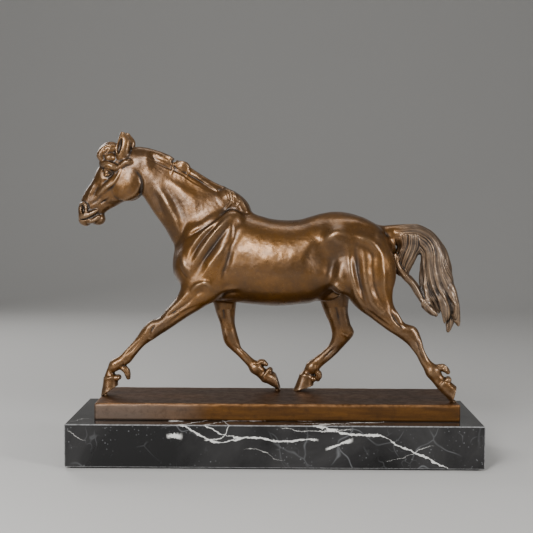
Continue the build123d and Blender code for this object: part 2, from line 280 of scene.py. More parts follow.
class Clay:
    """A block of clay on a grid."""

    def __init__(self, low, high, step):
        self.low, self.step = np.array(low, float), step
        self.axes = [np.arange(a, b + step, step) for a, b in zip(low, high)]
        self.block = np.full([len(a) for a in self.axes], FAR, np.float32)

    def work(self, shape, blend, carve=False):
        """Adds a shape with a soft joint, or carves it away."""
        pad = blend + 2.5 * self.step
        cuts = []
        for axis, low, high in zip(self.axes, shape.low - pad, shape.high + pad):
            first, last = np.searchsorted(axis, [low, high])
            if last - first < 2:
                return
            cuts.append(slice(first, last))
        u, v, w = (axis[cut] for axis, cut in zip(self.axes, cuts))
        grid_u, grid_w = np.meshgrid(u, w, indexing="ij")
        new = shape.field(grid_u, v, grid_w).astype(np.float32)
        old = self.block[tuple(cuts)]
        if carve:
            mix = np.maximum(blend - np.abs(old + new), 0) / blend
            self.block[tuple(cuts)] = np.maximum(old, -new) + mix * mix * blend / 4
        else:
            mix = np.maximum(blend - np.abs(old - new), 0) / blend
            self.block[tuple(cuts)] = np.minimum(old, new) - mix * mix * blend / 4

    def sample(self, points):
        """The field at any points, by blending the grid's corners."""
        place = (points - self.low) / self.step
        top = np.array(self.block.shape) - 2
        corner = np.clip(np.floor(place).astype(int), 0, top)
        t = np.clip(place - corner, 0, 1)
        total = np.zeros(len(points))
        for i in (0, 1):
            for j in (0, 1):
                for k in (0, 1):
                    share = np.ones(len(points))
                    for axis, bit in enumerate((i, j, k)):
                        share = share * (t[:, axis] if bit else 1 - t[:, axis])
                    total += share * self.block[corner[:, 0] + i, corner[:, 1] + j, corner[:, 2] + k]
        return total

    def slope(self, points):
        """The field's gradient at any points."""
        reach = self.step * 0.7
        columns = []
        for axis in range(3):
            shift = np.zeros(3)
            shift[axis] = reach
            rise = self.sample(points + shift) - self.sample(points - shift)
            columns.append(rise / (2 * reach))
        return np.stack(columns, 1)

    def skin(self):
        """Vertices and four-sided faces of the surface where the field is zero."""
        inside = self.block < 0
        cells = [n - 1 for n in self.block.shape]
        total = np.zeros(cells, np.int8)
        corners = [(i, j, k) for i in (0, 1) for j in (0, 1) for k in (0, 1)]
        for i, j, k in corners:
            total += inside[i : i + cells[0], j : j + cells[1], k : k + cells[2]]
        at = np.argwhere((total > 0) & (total < 8))
        ids = np.full(cells, -1, np.int32)
        ids[tuple(at.T)] = np.arange(len(at))
        values = {c: self.block[tuple((at + c).T)] for c in corners}
        place, found = np.zeros((len(at), 3)), np.zeros(len(at))
        for a in corners:
            for axis in range(3):
                if a[axis]:
                    continue
                b = tuple(1 if n == axis else a[n] for n in range(3))
                crosses = (values[a] < 0) != (values[b] < 0)
                gap = np.where(crosses, values[a] - values[b], 1)
                spot = np.tile(np.array(a, float), (len(at), 1))
                spot[:, axis] = values[a] / gap
                place += spot * crosses[:, None]
                found += crosses
        points = self.low + (at + place / found[:, None]) * self.step
        faces = []
        for axis in range(3):
            b, c = (axis + 1) % 3, (axis + 2) % 3
            near = np.take(inside, range(self.block.shape[axis] - 1), axis)
            beyond = np.take(inside, range(1, self.block.shape[axis]), axis)
            edge = np.argwhere(near != beyond)
            fits = (edge[:, b] > 0) & (edge[:, c] > 0)
            fits &= (edge[:, b] < cells[b]) & (edge[:, c] < cells[c])
            edge = edge[fits]
            step_b, step_c = np.eye(3, dtype=int)[b], np.eye(3, dtype=int)[c]
            around = [edge - step_b - step_c, edge - step_c, edge, edge - step_b]
            quad = np.stack([ids[tuple(p.T)] for p in around], 1)
            leaving = near[tuple(edge.T)]
            faces.append(np.where(leaving[:, None], quad, quad[:, ::-1]))
        return points, np.concatenate(faces)


# ---- meshes as arrays ---------------------------------------------------------------
class Skin:
    """A mesh of four-sided faces, with the neighbour averages that smoothing needs."""

    def __init__(self, points, faces):
        self.points, self.faces = points, faces
        pairs = np.concatenate([faces[:, [i, (i + 1) % 4]] for i in range(4)])
        self.pairs = np.concatenate([pairs, pairs[:, ::-1]])
        self.degree = np.maximum(np.bincount(self.pairs[:, 0], minlength=len(points)), 1)

    def average(self, values):
        """Each vertex's neighbours, averaged."""
        near = values[self.pairs[:, 1]]
        if near.ndim == 1:
            return np.bincount(self.pairs[:, 0], near, len(self.points)) / self.degree
        columns = [
            np.bincount(self.pairs[:, 0], near[:, n], len(self.points)) for n in range(near.shape[1])
        ]
        return np.stack(columns, 1) / self.degree[:, None]

    def soften(self, values, rounds):
        """Values spread over the mesh, one step to the neighbours in each round."""
        for _ in range(rounds):
            values = (values + self.average(values)) / 2
        return values

    def normals(self):
        """Each vertex's outward direction, with larger faces counting for more."""
        p = self.points[self.faces]
        across = np.cross(p[:, 2] - p[:, 0], p[:, 3] - p[:, 1])
        total = np.zeros_like(self.points)
        for corner in range(4):
            for axis in range(3):
                total[:, axis] += np.bincount(
                    self.faces[:, corner], across[:, axis], len(self.points)
                )
        return total / np.maximum(np.linalg.norm(total, axis=1), 1e-9)[:, None]

    def settle(self, clay, rounds):
        """Evens out the mesh while keeping it on the clay's surface."""
        for _ in range(rounds):
            self.points = (self.points + self.average(self.points)) / 2
            slope = clay.slope(self.points)
            square = np.maximum((slope**2).sum(1), 0.05)
            shift = (clay.sample(self.points) / square)[:, None] * slope
            self.points = self.points - np.clip(shift, -clay.step, clay.step)

    def curvature(self, rounds):
        """Above 0 on ridges and below 0 in hollows, in a unit of its own."""
        lean = self.average(self.points) - self.points
        return self.soften(-(lean * self.normals()).sum(1), rounds)


class Chisel:
    """Ridges and grooves drawn in the side view, gathered up and then pressed into a skin."""

    def __init__(self, skin):
        self.skin = skin
        self.normal = skin.normals()
        self.rise = np.zeros(len(skin.points))

    def stroke(self, line, width, rise, sides=(-1, 1), taper=0.42):
        """A raised or sunken line through (u, w) points, fading out over taper at each end.

        width may be two, left and right of the way it runs; sides are the horse's, -1 near, 1 off.
        """
        left, right = width if isinstance(width, tuple) else (width, width)
        path = curve_through([list(p) for p in line], 1.0)
        wide = 2.4 * max(left, right)
        u, w = self.skin.points[:, 0], self.skin.points[:, 2]
        low, high = path.min(0) - wide, path.max(0) + wide
        near = np.flatnonzero((u > low[0]) & (u < high[0]) & (w > low[1]) & (w < high[1]))
        best = np.full(len(near), np.inf)
        signed, along = np.zeros(len(near)), np.zeros(len(near))
        for i in range(len(path) - 1):
            d = path[i + 1] - path[i]
            du, dw = u[near] - path[i, 0], w[near] - path[i, 1]
            t = np.clip((du * d[0] + dw * d[1]) / (d @ d), 0, 1)
            away = np.hypot(du - t * d[0], dw - t * d[1])
            closer = away < best
            best = np.where(closer, away, best)
            turn = np.where(d[0] * dw - d[1] * du > 0, 1.0, -1.0)
            signed = np.where(closer, away * turn, signed)
            along = np.where(closer, (i + t) / (len(path) - 1), along)
        reach = np.where(signed > 0, left, right)
        fade = np.clip(np.minimum(along, 1 - along) / taper, 0, 1)
        fade = fade * fade * (3 - 2 * fade)
        for side in sides:
            facing = np.clip((side * self.normal[near, 1] - 0.05) / 0.35, 0, 1)
            self.rise[near] += rise * np.exp(-((signed / reach) ** 2)) * fade * facing

    def press(self):
        """Moves the skin by all the strokes at once."""
        self.skin.points = self.skin.points + self.rise[:, None] * self.normal


# ---- the horse's forms --------------------------------------------------------------
# Sections are (u, w) of one outline point, (u, w) of the opposite one, and the half width. Rows of
# forms are (shape, blend, carve): blend is the soft joint's size, and carve takes the shape away.
TRUNK = [
    ((-88, 173), (-88, 153), 9),
    ((-80, 191), (-81, 141), 18.5),
    ((-66, 202), (-66, 134), 23.5),
    ((-47, 206), (-48, 131), 26.5),
    ((-25, 206.5), (-27, 129), 29),
    ((-4, 202), (-4, 127.3), 31),
    ((16, 201.6), (14, 128.5), 31),
    ((36, 207), (32, 132), 29),
    ((52, 208.6), (50, 143), 26),
    ((67, 205.4), (71, 152), 23),
    ((81, 199), (88, 162), 17),
    ((91, 193.5), (95, 172), 9.5),
]
NECK = [
    ((-20, 192), (-64, 143), 16),
    ((-28, 211), (-84, 150), 16.5),
    ((-40, 225), (-89.5, 165), 15.5),
    ((-55, 231), (-89.5, 175), 14),
    ((-70, 238.5), (-94, 184.5), 12.5),
    ((-84, 246), (-100.5, 195.5), 11.3),
    ((-98, 253), (-108, 206), 10.5),
    ((-110, 259), (-114.5, 215.5), 10),
    ((-124, 262.5), (-118.5, 221), 9.8),
    ((-132, 262), (-122, 224), 9.5),
]
SKULL = [
    ((-117, 262), (-113, 226), 9),
    ((-126, 262.5), (-119, 222.5), 9.8),
    ((-136, 260.5), (-125, 219), 10.2),
    ((-147, 256), (-134.5, 216.8), 10.6),
    ((-155, 250.5), (-141.5, 213), 10),
    ((-159, 243), (-146.5, 210.5), 8.8),
    ((-163.3, 234.5), (-150, 208.5), 7.7),
    ((-168.8, 226.4), (-153.5, 205), 6.8),
    ((-173.4, 217), (-156, 200.5), 6.3),
    ((-175.6, 209), (-160, 197.5), 6.1),
    ((-174, 202.5), (-165, 197.5), 4.8),
]
LEG_TOPS = {"fore": (13.5, 21.5), "hind": (14.0, 22.0)}  # across, at the top and at the foot
NEAR_FORELEG = [
    ((-76, 190), (-46, 186), 7),
    ((-80, 168), (-44, 158), 9),
    ((-81, 147), (-51, 136), 10.5),
    ((-84.5, 138), (-60, 128.7), 9.3),
    ((-92.7, 127.2), (-75, 119.3), 7.8),
    ((-101.5, 117.6), (-88, 110.7), 6.3),
    ((-107.8, 115), (-98, 104), 6),
    ((-114.8, 108.8), (-106, 98.6), 5.7),
    ((-119.5, 101.6), (-112.4, 94.4), 4.4),
    ((-126, 93.6), (-119.8, 86.2), 3.7),
    ((-133, 86.3), (-126, 78.6), 3.9),
    ((-142.2, 79), (-134, 74), 4.6),
    ((-146.2, 71.5), (-139, 69.8), 3.9),
    ((-148.4, 65), (-136, 66.6), 5.5),
]
OFF_FORELEG = [
    ((-74, 186), (-42, 186), 7),
    ((-71, 160), (-40, 158), 9),
    ((-66, 142), (-38.5, 140), 9.8),
    ((-59.6, 128.3), (-38.7, 129.5), 8.2),
    ((-56.3, 117.7), (-39.9, 118.5), 6.8),
    ((-53.3, 109), (-40.2, 109.5), 5.7),
    ((-51.6, 99.8), (-38.6, 101.5), 5.8),
    ((-48.6, 90.5), (-36.6, 95), 5),
    ((-43, 85.2), (-35, 88.5), 4.2),
    ((-36, 78.6), (-30.2, 83.5), 3.6),
    ((-30, 72.2), (-23.5, 77.6), 3.9),
    ((-25.1, 66.2), (-17, 73.6), 4.8),
    ((-20, 61.8), (-12.8, 69.2), 4.4),
    ((-16, 57.6), (-9, 68.4), 5.4),
]
NEAR_HINDLEG = [
    ((52, 190), (84, 188), 7),
    ((47, 172), (96.5, 172), 10.5),
    ((47.4, 152), (99.6, 153), 12),
    ((56.5, 140.6), (97.6, 142.5), 11),
    ((67, 128.6), (97.6, 133.5), 9.4),
    ((79.4, 119.4), (101.5, 124.6), 7.6),
    ((91.5, 110.8), (107.5, 116), 5.8),
    ((103.6, 103), (117.6, 111.6), 5.6),
    ((111, 97), (121.6, 102.4), 4.8),
    ((116.8, 89.6), (123.8, 94), 4),
    ((121.6, 80.8), (129, 85), 3.8),
    ((126.4, 72.6), (136.6, 79), 4.8),
    ((131, 66.4), (139.6, 72.6), 4.4),
    ((135.2, 61.4), (144, 69.6), 5.4),
]
OFF_HINDLEG = [
    ((50, 190), (82, 188), 7),
    ((38, 168), (84, 168), 10.5),
    ((34, 148), (68, 150), 11.5),
    ((35.2, 130), (60.5, 133), 9.6),
    ((38.6, 120.5), (59.6, 121.5), 7.8),
    ((43, 111), (61.5, 111), 6.3),
    ((45.4, 100.8), (64.8, 102), 5.8),
    ((43.4, 92.8), (57, 91.5), 4.9),
    ((37.3, 86), (46.6, 80.6), 3.9),
    ((30, 79.8), (37.6, 72.8), 3.8),
    ((24.2, 75), (32.6, 67.4), 4.8),
    ((21, 69.4), (29.6, 64.6), 4.4),
    ((17.2, 65.2), (29.6, 61.6), 5.4),
]
# Each hoof: its coronet and its sole, (u, w) of the front and of the heel.
HOOVES = {
    "near_foreleg": (((-148.6, 64.4), (-136.2, 66)), ((-151, 49.6), (-136, 59.4))),
    "off_foreleg": (((-15.6, 58.4), (-9.4, 68.2)), ((0.6, 49.6), (-4.2, 65.6))),
    "near_hindleg": (((135.8, 61), (143.8, 69.4)), ((147, 49.6), (150.8, 63.6))),
    "off_hindleg": (((17, 64.4), (29.6, 61.2)), ((11.2, 49.6), (29.8, 55.6))),
}
HOOF_HALF_WIDTHS = (5.9, 7.2)
DOWEL_U = {"near_foreleg": -147.6, "off_foreleg": -2.4, "near_hindleg": 147.8, "off_hindleg": 14.4}
TUFTS = {
    "near_foreleg": [(-133, 75), (-129, 72.5), (-127.2, 66)],
    "off_foreleg": [(-20.5, 73), (-16, 75), (-12.4, 73.2)],
    "near_hindleg": [(133.5, 78.5), (139.6, 79.2), (143.6, 75.4)],
    "off_hindleg": [(32, 67.5), (34.2, 64.5), (33.4, 60.6)],
}
FETLOCKS = {
    "near_foreleg": (-138.6, 76.6),
    "off_foreleg": (-22.4, 69.6),
    "near_hindleg": (130.4, 75.4),
    "off_hindleg": (28, 71.6),
}
LIMBS = {
    "near_foreleg": (NEAR_FORELEG, -1, "fore"),
    "off_foreleg": (OFF_FORELEG, 1, "fore"),
    "near_hindleg": (NEAR_HINDLEG, -1, "hind"),
    "off_hindleg": (OFF_HINDLEG, 1, "hind"),
}


def limb_sweep(name):
    """A leg's sweep, drifting outwards from the trunk to the foot."""
    rings, side, kind = LIMBS[name]
    top_across, foot_across = LEG_TOPS[kind]
    top, foot = rings[0][0][1], rings[-1][0][1]
    placed = []
    for edge, opposite, half_width in rings:
        share = (top - edge[1]) / (top - foot)
        across = side * (top_across + (foot_across - top_across) * min(share * 1.15, 1))
        placed.append((edge, opposite, half_width, across))
    return Sweep(placed, power=2.2)


def foot_forms(name):
    """The fetlock, its tuft of hair, the hoof with its hollow sole, and the weld below it."""
    _, side, kind = LIMBS[name]
    across = side * LEG_TOPS[kind][1]
    (front, heel), (toe, sole_heel) = HOOVES[name]
    coronet_half, sole_half = HOOF_HALF_WIDTHS
    hoof = Sweep(
        [(front, heel, coronet_half, across), (toe, sole_heel, sole_half, across)],
        power=2.3,
        caps=(0.5, 0),
    )
    fetlock = FETLOCKS[name]
    rows = [
        (ellipsoid((fetlock[0], across, fetlock[1]), (4.9, 5.1, 4.9)), 2.6, False),
        (hoof, 0.9, False),
    ]
    for part in (-1, 1):
        bulb = (heel[0], across + part * 2.4, heel[1])
        rows.append((ellipsoid(bulb, (2.7, 2.8, 2.5)), 1.6, False))
    tuft = [(u, across, w) for u, w in TUFTS[name]]
    rows += [(piece, 1.5, False) for piece in strand(tuft, (2.5, 2.6, 1.9), flat=0.8)]
    middle = [(toe[0] + sole_heel[0]) / 2, across, (toe[1] + sole_heel[1]) / 2]
    lean = math.degrees(math.atan2(sole_heel[1] - toe[1], sole_heel[0] - toe[0]))
    rows.append((ellipsoid(middle, (5.6, 4.4, 1.3), lean), 0.6, True))
    weld = (DOWEL_U[name], across, GROUND_W)
    rows.append((ellipsoid(weld, (2.9, 3.6, 2.2)), 1, False))
    return rows


def body_forms():
    """The trunk, the neck and the muscles that the shoulders and thighs are made of."""
    rows = [
        (Sweep(TRUNK, power=2.15, caps=(0.3, 1.0), belly=0.08), 2, False),
        (Sweep(NECK, power=2.0, belly=0.22), 9, False),
        (ellipsoid((-78, 0, 162), (11.5, 15, 18)), 8, False),
    ]
    for side in (-1, 1):
        rows += [
            (ellipsoid((-57, side * 15.5, 180), (14, 10.5, 36), -41), 7, False),
            (ellipsoid((-76, side * 12, 162), (10.5, 9.5, 15), -14), 7, False),
            (ellipsoid((-52, side * 19.5, 158), (11, 8.5, 25), -22), 5, False),
            (ellipsoid((-60, side * 18, 144), (10, 8.6, 11)), 6, False),
            (ellipsoid((62, side * 12.5, 184), (27, 15, 19)), 9, False),
            (ellipsoid((50, side * 21, 185), (8.5, 7.2, 8)), 8, False),
            (ellipsoid((80, side * 14.5, 166), (16.5, 13, 29), 8), 8, False),
            (ellipsoid((56, side * 20, 153), (9, 8.5, 14), -25), 8, False),
            (ellipsoid((41, side * 36, 168), (11, 9, 15), 10), 10, True),
        ]
    rows += [(limb_sweep(name), 6, False) for name in LIMBS]
    rows.append((ellipsoid((44.5, 0, 136.4), (9, 4, 4), 14), 7, False))
    return rows


def mane_forms():
    """The crest, its two loops of hair with a gap between them, and the locks at the withers."""
    rows = []
    crest = [(-124, 0, 260.5), (-110, 0, 257.5), (-98, 0, 252.5), (-84, 0, 246), (-70, 0, 237.5)]
    crest += [(-57, 0, 230), (-46, 0, 226)]
    rows += [(piece, 2.5, False) for piece in strand(crest, [3.4, 3.4, 3.4, 3, 2.8, 2.6, 2.4])]
    for side in (-1, 1):
        rows.append((ellipsoid((-100.5, side * 1.3, 252.3), (9.6, 3.8, 4), -20), 4.5, False))
        rows.append((ellipsoid((-84.6, side * 2.2, 246.6), (5.8, 3.8, 4.8), -18), 1.6, False))
        rows.append((ellipsoid((-41, side * 6, 218.5), (10.5, 5.6, 7), -42), 5, False))
        rows.append((ellipsoid((-33, side * 5, 213.5), (9, 5, 5.5), -45), 5, False))
    rows.append((ellipsoid((-90.7, 0, 253.2), (1.7, 8, 4.2), -20), 1.8, True))
    return rows


def head_forms():
    """The skull, cheeks, eyes, nostrils, lips, ears and forelock."""
    rows = [
        (Sweep(SKULL, power=2.3, belly=-0.06), 2, False),
        (ellipsoid((-168, 0, 204.5), (7.4, 6.9, 6), 40), 3, False),
        (ellipsoid((-158.5, 0, 201), (6, 5, 4.4), 15), 2.5, False),
        (ellipsoid((-157, 0, 201.2), (4.6, 4.4, 4.6)), 3, False),
    ]
    for side in (-1, 1):
        rows += side_of_head(side)
    rows.append((ellipsoid((-147.4, 0, 260.2), (7.8, 9, 6.4), -12), 2.5, False))
    rows.append((ellipsoid((-146.4, 0, 254.6), (7.6, 10.6, 5.6), -8), 2.5, False))
    for v in (-6, 0, 6):
        lean = 0.4 * abs(v)
        line = [(-139, v * 0.6, 262.5), (-146.5, v, 265 - lean), (-152.8, v * 1.1, 261.6 - lean)]
        line += [(-154.6, v * 1.15, 256), (-151.5, v * 1.2, 251.6)]
        rows += [(piece, 2.6, False) for piece in strand(line, (2, 2.7, 2.7, 2.3, 1.2))]
    for side, shift in ((-1, 0.0), (1, 1.8)):
        rows += ear(side, shift)
    return rows


def side_of_head(side):
    """One cheek, eye, nostril and side of the mouth."""
    rows = [
        (ellipsoid((-131.2, side * 6.8, 231.4), (13.4, 5.8, 14.2)), 1.9, False),
        (ellipsoid((-148.2, side * 11.6, 241.6), (5.6, 3.2, 4.4)), 2.5, True),
    ]
    lines = (
        ([(-154, 5, 250), (-148, 9.6, 248), (-140, 10.6, 245.6)], (2, 2.4, 1.8), 2.5),
        ([(-141.5, 9, 236.6), (-148, 8.4, 230), (-155, 7, 223.5)], (1.2, 1.1, 0.7), 3.4),
        ([(-136, 8.4, 247), (-131.6, 9.4, 250.4), (-127, 8.4, 250.4)], (1.3, 1.3, 1), 2.6),
        ([(-172.8, 4.2, 214.4), (-169.4, 6.2, 214.8), (-167, 6.9, 211), (-168, 6.6, 206.4),
          (-171, 5.2, 204.4)], (1.1, 1.3, 1.3, 1.2, 0.9), 1.2),
        ([(-172.6, 4.4, 203.4), (-167.5, 6, 204.4), (-162.5, 6.4, 206.2), (-158, 6.4, 208.6)],
         (1.3, 1.4, 1.2, 0.7), 2.2),
        ([(-165.5, 4.2, 198.6), (-160.6, 5, 200.4), (-156.6, 5.2, 203.4)], (1.1, 1.2, 0.8), 2),
    )
    for line, radii, blend in lines:
        placed = [(u, side * v, w) for u, v, w in line]
        rows += [(piece, blend, False) for piece in strand(placed, radii)]
    rows.append((ellipsoid((-148, side * 7.3, 241.6), (3.2, 3.0, 2.6)), 0.4, False))
    lids = (
        [(-152, 7.6, 241.4), (-148.6, 10, 244.6), (-144, 9.8, 242)],
        [(-151.8, 7.8, 240.6), (-148.2, 9.6, 238.7), (-144, 9.8, 240.8)],
    )
    for lid in lids:
        placed = [(u, side * v, w) for u, v, w in lid]
        rows += [(piece, 1.0, False) for piece in strand(placed, (0.55, 0.75, 0.5))]
    mouth = [(-172.4, 4.6, 201.2), (-167, 6.4, 201.4), (-161.6, 6.8, 203.4), (-157.4, 6.9, 206)]
    placed = [(u, side * v, w) for u, v, w in mouth]
    rows += [(piece, 0.5, True) for piece in strand(placed, (0.8, 0.9, 0.8, 0.5))]
    rows.append((ellipsoid((-170.4, side * 7.2, 209.8), (1.9, 3.4, 4), 12), 0.8, True))
    return rows


def ear(side, shift):
    """A pricked ear, hollow on its outer front face; shift moves it back."""
    across = side * 6.3
    rings = [
        ((-140.5 + shift, 255.5), (-129.5 + shift, 253.5), 3.6, across),
        ((-140.6 + shift, 262.5), (-128.6 + shift, 262), 4.1, across),
        ((-139 + shift, 269), (-128.4 + shift, 269.2), 3.1, across),
        ((-136.6 + shift * 0.8, 276.4), (-132.4 + shift * 0.8, 275), 0.9, across),
    ]
    hollow = (-137.4 + shift, across + side * 3.6, 264.6)
    return [
        (Sweep(rings, power=2.2, caps=(1, 0.8)), 1.6, False),
        (ellipsoid(hollow, (2.7, 3.6, 7.6), -12), 0.7, True),
    ]


TAIL_MASS = [
    ((80, 195), (82, 181), 6),
    ((92, 197.2), (94, 181.5), 7),
    ((107, 198), (108.5, 178), 8.3),
    ((120, 197.4), (117.5, 174), 8.6),
    ((131.5, 191.2), (121.5, 171), 8.8),
    ((140, 181), (121.4, 165), 8.8),
    ((145, 169), (120.4, 157), 8.8),
    ((147.8, 156), (120.6, 147.5), 8.6),
    ((149.4, 144), (123, 139), 7.6),
    ((150.4, 136), (128.5, 133), 6),
    ((150, 130), (134, 128.5), 3.6),
]
TAIL_FRONT_LOCK = [
    ((102.4, 189.5), (121, 189.5), 8),
    ((101.8, 186), (121, 185), 8.7),
    ((101.6, 181), (120.6, 179.6), 8.8),
    ((99.4, 173.6), (118, 170.4), 8),
    ((98.2, 166.6), (113.8, 162.6), 6.4),
    ((99.8, 159.6), (109.8, 154.6), 3.6),
]


# The two falls of hair; the first of them holds the dock too.
TAIL_SWEEPS = (Sweep(TAIL_MASS, power=2.1), Sweep(TAIL_FRONT_LOCK, power=2.1, caps=(0.4, 1)))


def tail_forms():
    """The dock, the two falls of hair, and the wisps that stray from them."""
    rows = [(TAIL_SWEEPS[0], 2, False), (TAIL_SWEEPS[1], 3, False)]
    wisps = (
        ([(99.6, -5.4, 172), (101, -6.4, 163.6), (106, -7, 156), (113.6, -7.6, 148.6),
          (119, -7.6, 140), (122.8, -7.4, 132.6), (129.4, -7, 126), (134, -6.4, 121.8)],
         (1.8, 2.2, 2.4, 2.6, 2.4, 2.3, 2.6, 1.9)),
        ([(100.6, -3, 166), (106, -4, 158), (114, -5, 150), (121, -5, 140.6), (126.4, -5, 131),
          (131.4, -4.6, 125.4)], (1.6, 1.9, 1.9, 1.8, 1.8, 1)),
        ([(126, -3, 150), (124.6, -4, 141), (127.4, -5, 132), (130.6, -5.4, 127.2)], (3.6, 3.4, 2.6, 1)),
        ([(134, 1, 146), (134.6, 1, 135), (135.6, 0, 128), (136.8, 0, 123.4)], (4.4, 3.6, 2.2, 0.9)),
        ([(138, -3, 146), (140, -4, 134), (143, -3.6, 122), (141.6, -3, 115.4)], (4.6, 4.2, 3.2, 0.9)),
        ([(142, 2, 142), (145.6, 2, 130), (147, 1, 118), (145, 0, 107.4)], (5, 4.4, 3.2, 0.9)),
        ([(146, -2, 144), (149.4, -3, 130), (151.4, -2.4, 120), (153.4, -1.6, 112.8)],
         (4.2, 3.6, 2.6, 0.9)),
        ([(112, 2, 170), (110.4, 3, 161), (108.6, 3, 154)], (3, 2.4, 1)),
    )
    for line, radii in wisps:
        rows += [(piece, 1.6, False) for piece in strand(line, radii)]
    return rows


# ---- strokes: what the modelling tool drew into the surface ---------------------------
# Each is (line, width, rise): (u, w) points, millimetres across and out of the surface.
NECK_STROKES = [
    ([(-106, 232), (-95, 215), (-88, 201), (-84, 190), (-81, 179)], 3.4, 1.3),
    ([(-104, 238), (-90, 220), (-81, 203), (-76, 190)], 4.4, -1.2),
    ([(-114, 236), (-106, 222), (-99, 207), (-93, 193)], 3.2, -0.9),
    ([(-118, 228), (-110, 214), (-101, 200), (-95, 187)], 2.6, 0.5),
    ([(-95, 243), (-80, 226), (-68, 205)], 8, 1.0),
    ([(-108, 246), (-92, 238), (-76, 229), (-58, 220)], 4.4, -0.8),
]
SHOULDER_STROKES = [
    ([(-34, 216), (-44, 209.5), (-54, 201.5), (-68, 192), (-84, 181.5)], 2.2, -2.5),
    ([(-38, 213), (-50, 201), (-60, 192), (-70, 181), (-80, 171)], 2.4, 1.3),
    ([(-42, 207), (-54, 195), (-62.5, 186), (-68.5, 176.5), (-76, 161)], 2.0, -1.7),
    ([(-36, 209), (-46, 198), (-55, 187), (-62, 177), (-68, 167), (-73, 156)], 2.3, 1.4),
    ([(-36, 202), (-46, 189), (-54, 178), (-61, 168.5), (-69, 156)], 2.4, -2.0),
    ([(-36, 190), (-45, 177.5), (-53, 167), (-60.5, 156.5), (-69, 147)], 3.6, 1.5),
    ([(-37, 186), (-40, 172), (-44, 159), (-50, 143)], (3.4, 2.4), -2.0),
    ([(-80, 178), (-79.5, 167), (-76, 160), (-69, 155.5)], 1.6, 0.9),
    ([(-83, 171), (-83, 161), (-78, 154), (-71, 150)], 1.9, -0.9),
    ([(-74, 138), (-67, 146), (-59, 148), (-52.6, 141)], 1.9, 1.2),
    ([(-71, 135), (-64.6, 140.6), (-57, 139)], 3.0, -1.1),
    ([(-51, 138), (-42, 143), (-29, 144.5)], 2.0, 0.9),
    ([(-50, 134), (-41, 139), (-28, 140)], 1.8, -0.9),
    ([(-36, 204), (-35, 190), (-38, 176)], (4.5, 2), -0.9),
]
RIB_STROKES = [
    ([(-20 + n * 8, 186 - n), (-17 + n * 7.4, 168), (-19 + n * 7, 150 + n)], 3.0, 0.08)
    for n in range(5)
]
HIP_STROKES = [
    ([(40, 176), (43, 187), (50, 192), (59, 189), (63, 178)], 3.8, 1.1),
    ([(48, 178), (53, 178), (56, 174), (57.6, 164)], 4.4, -0.7),
    ([(58, 190), (68, 187.6), (77, 184.6), (85, 177), (91, 166)], 3.2, 1.4),
    ([(66, 180), (74, 178.6), (80, 173), (84, 165)], 3.4, -0.9),
    ([(60, 197), (72, 193.5), (84, 189)], 3.4, -0.8),
    ([(59.6, 190), (60.6, 170), (64, 152), (69, 136), (80, 120)], 3.0, 1.7),
    ([(66, 191), (66.6, 172), (69, 154), (74, 137), (86, 120)], 3.0, -1.7),
    ([(73, 186), (74, 166), (76, 147), (86, 126)], 3.2, 1.0),
    ([(80, 182), (80.6, 164), (82.5, 146), (92, 126)], 2.8, -1.1),
    ([(86.6, 180), (89, 160), (90, 142), (97, 124)], 2.6, 0.8),
    ([(42, 151), (50, 147), (58, 139)], 1.8, 1.1),
    ([(46, 154), (55, 149), (62, 141)], 2.2, -0.7),
    ([(57, 178), (54, 164), (54, 150), (59, 138)], 4.2, 0.8),
    ([(50, 178), (46, 165), (44, 152)], 4.6, -1.2),
    ([(85, 193), (91.5, 190), (97, 186)], 1.5, -1.1),
]
NEAR_FORE_STROKES = [
    ([(-67, 139), (-76, 130.5), (-86, 123.5), (-96, 117)], 1.3, -1.0),
    ([(-72, 142), (-82, 133), (-92, 124), (-101, 116)], 2.0, 0.6),
    ([(-62, 131), (-78, 123.5), (-97, 110.5)], 1.4, -0.8),
    ([(-104, 116), (-109, 112), (-112, 106)], 2.1, 0.6),
    ([(-102, 113), (-105.5, 108.5), (-107, 103)], 1.0, -0.6),
    ([(-110, 101.5), (-106.5, 99.5), (-103.4, 101.6)], 1.2, 0.5),
    ([(-115, 100), (-122, 92.4), (-130.5, 84)], 0.9, -0.55),
    ([(-118.5, 100), (-126, 91.8), (-134, 84.5)], 1.2, 0.35),
    ([(-113, 97), (-120, 89.6), (-127, 82.4)], 1.1, 0.45),
    ([(-149, 66.6), (-143, 66.2), (-136, 68.4)], 1.0, 0.55),
]
OFF_FORE_STROKES = [
    ([(-53, 146), (-50.5, 128), (-47.4, 104)], 1.7, -0.8),
    ([(-58, 144), (-54.8, 124), (-50.8, 102)], 2.0, 0.6),
    ([(-46.4, 144), (-45.4, 124), (-43, 104)], 1.7, 0.5),
    ([(-42.4, 140), (-42, 122), (-41, 108)], 1.3, -0.4),
    ([(-50, 106), (-47.5, 102), (-47.6, 96)], 2.0, 0.5),
    ([(-41.5, 92), (-34, 84.5), (-26.5, 76.5)], 0.9, -0.55),
    ([(-38.6, 93), (-32.5, 87), (-25, 79)], 1.1, 0.45),
    ([(-17.6, 60.6), (-13.4, 64.6), (-9.8, 70)], 1.0, 0.5),
]
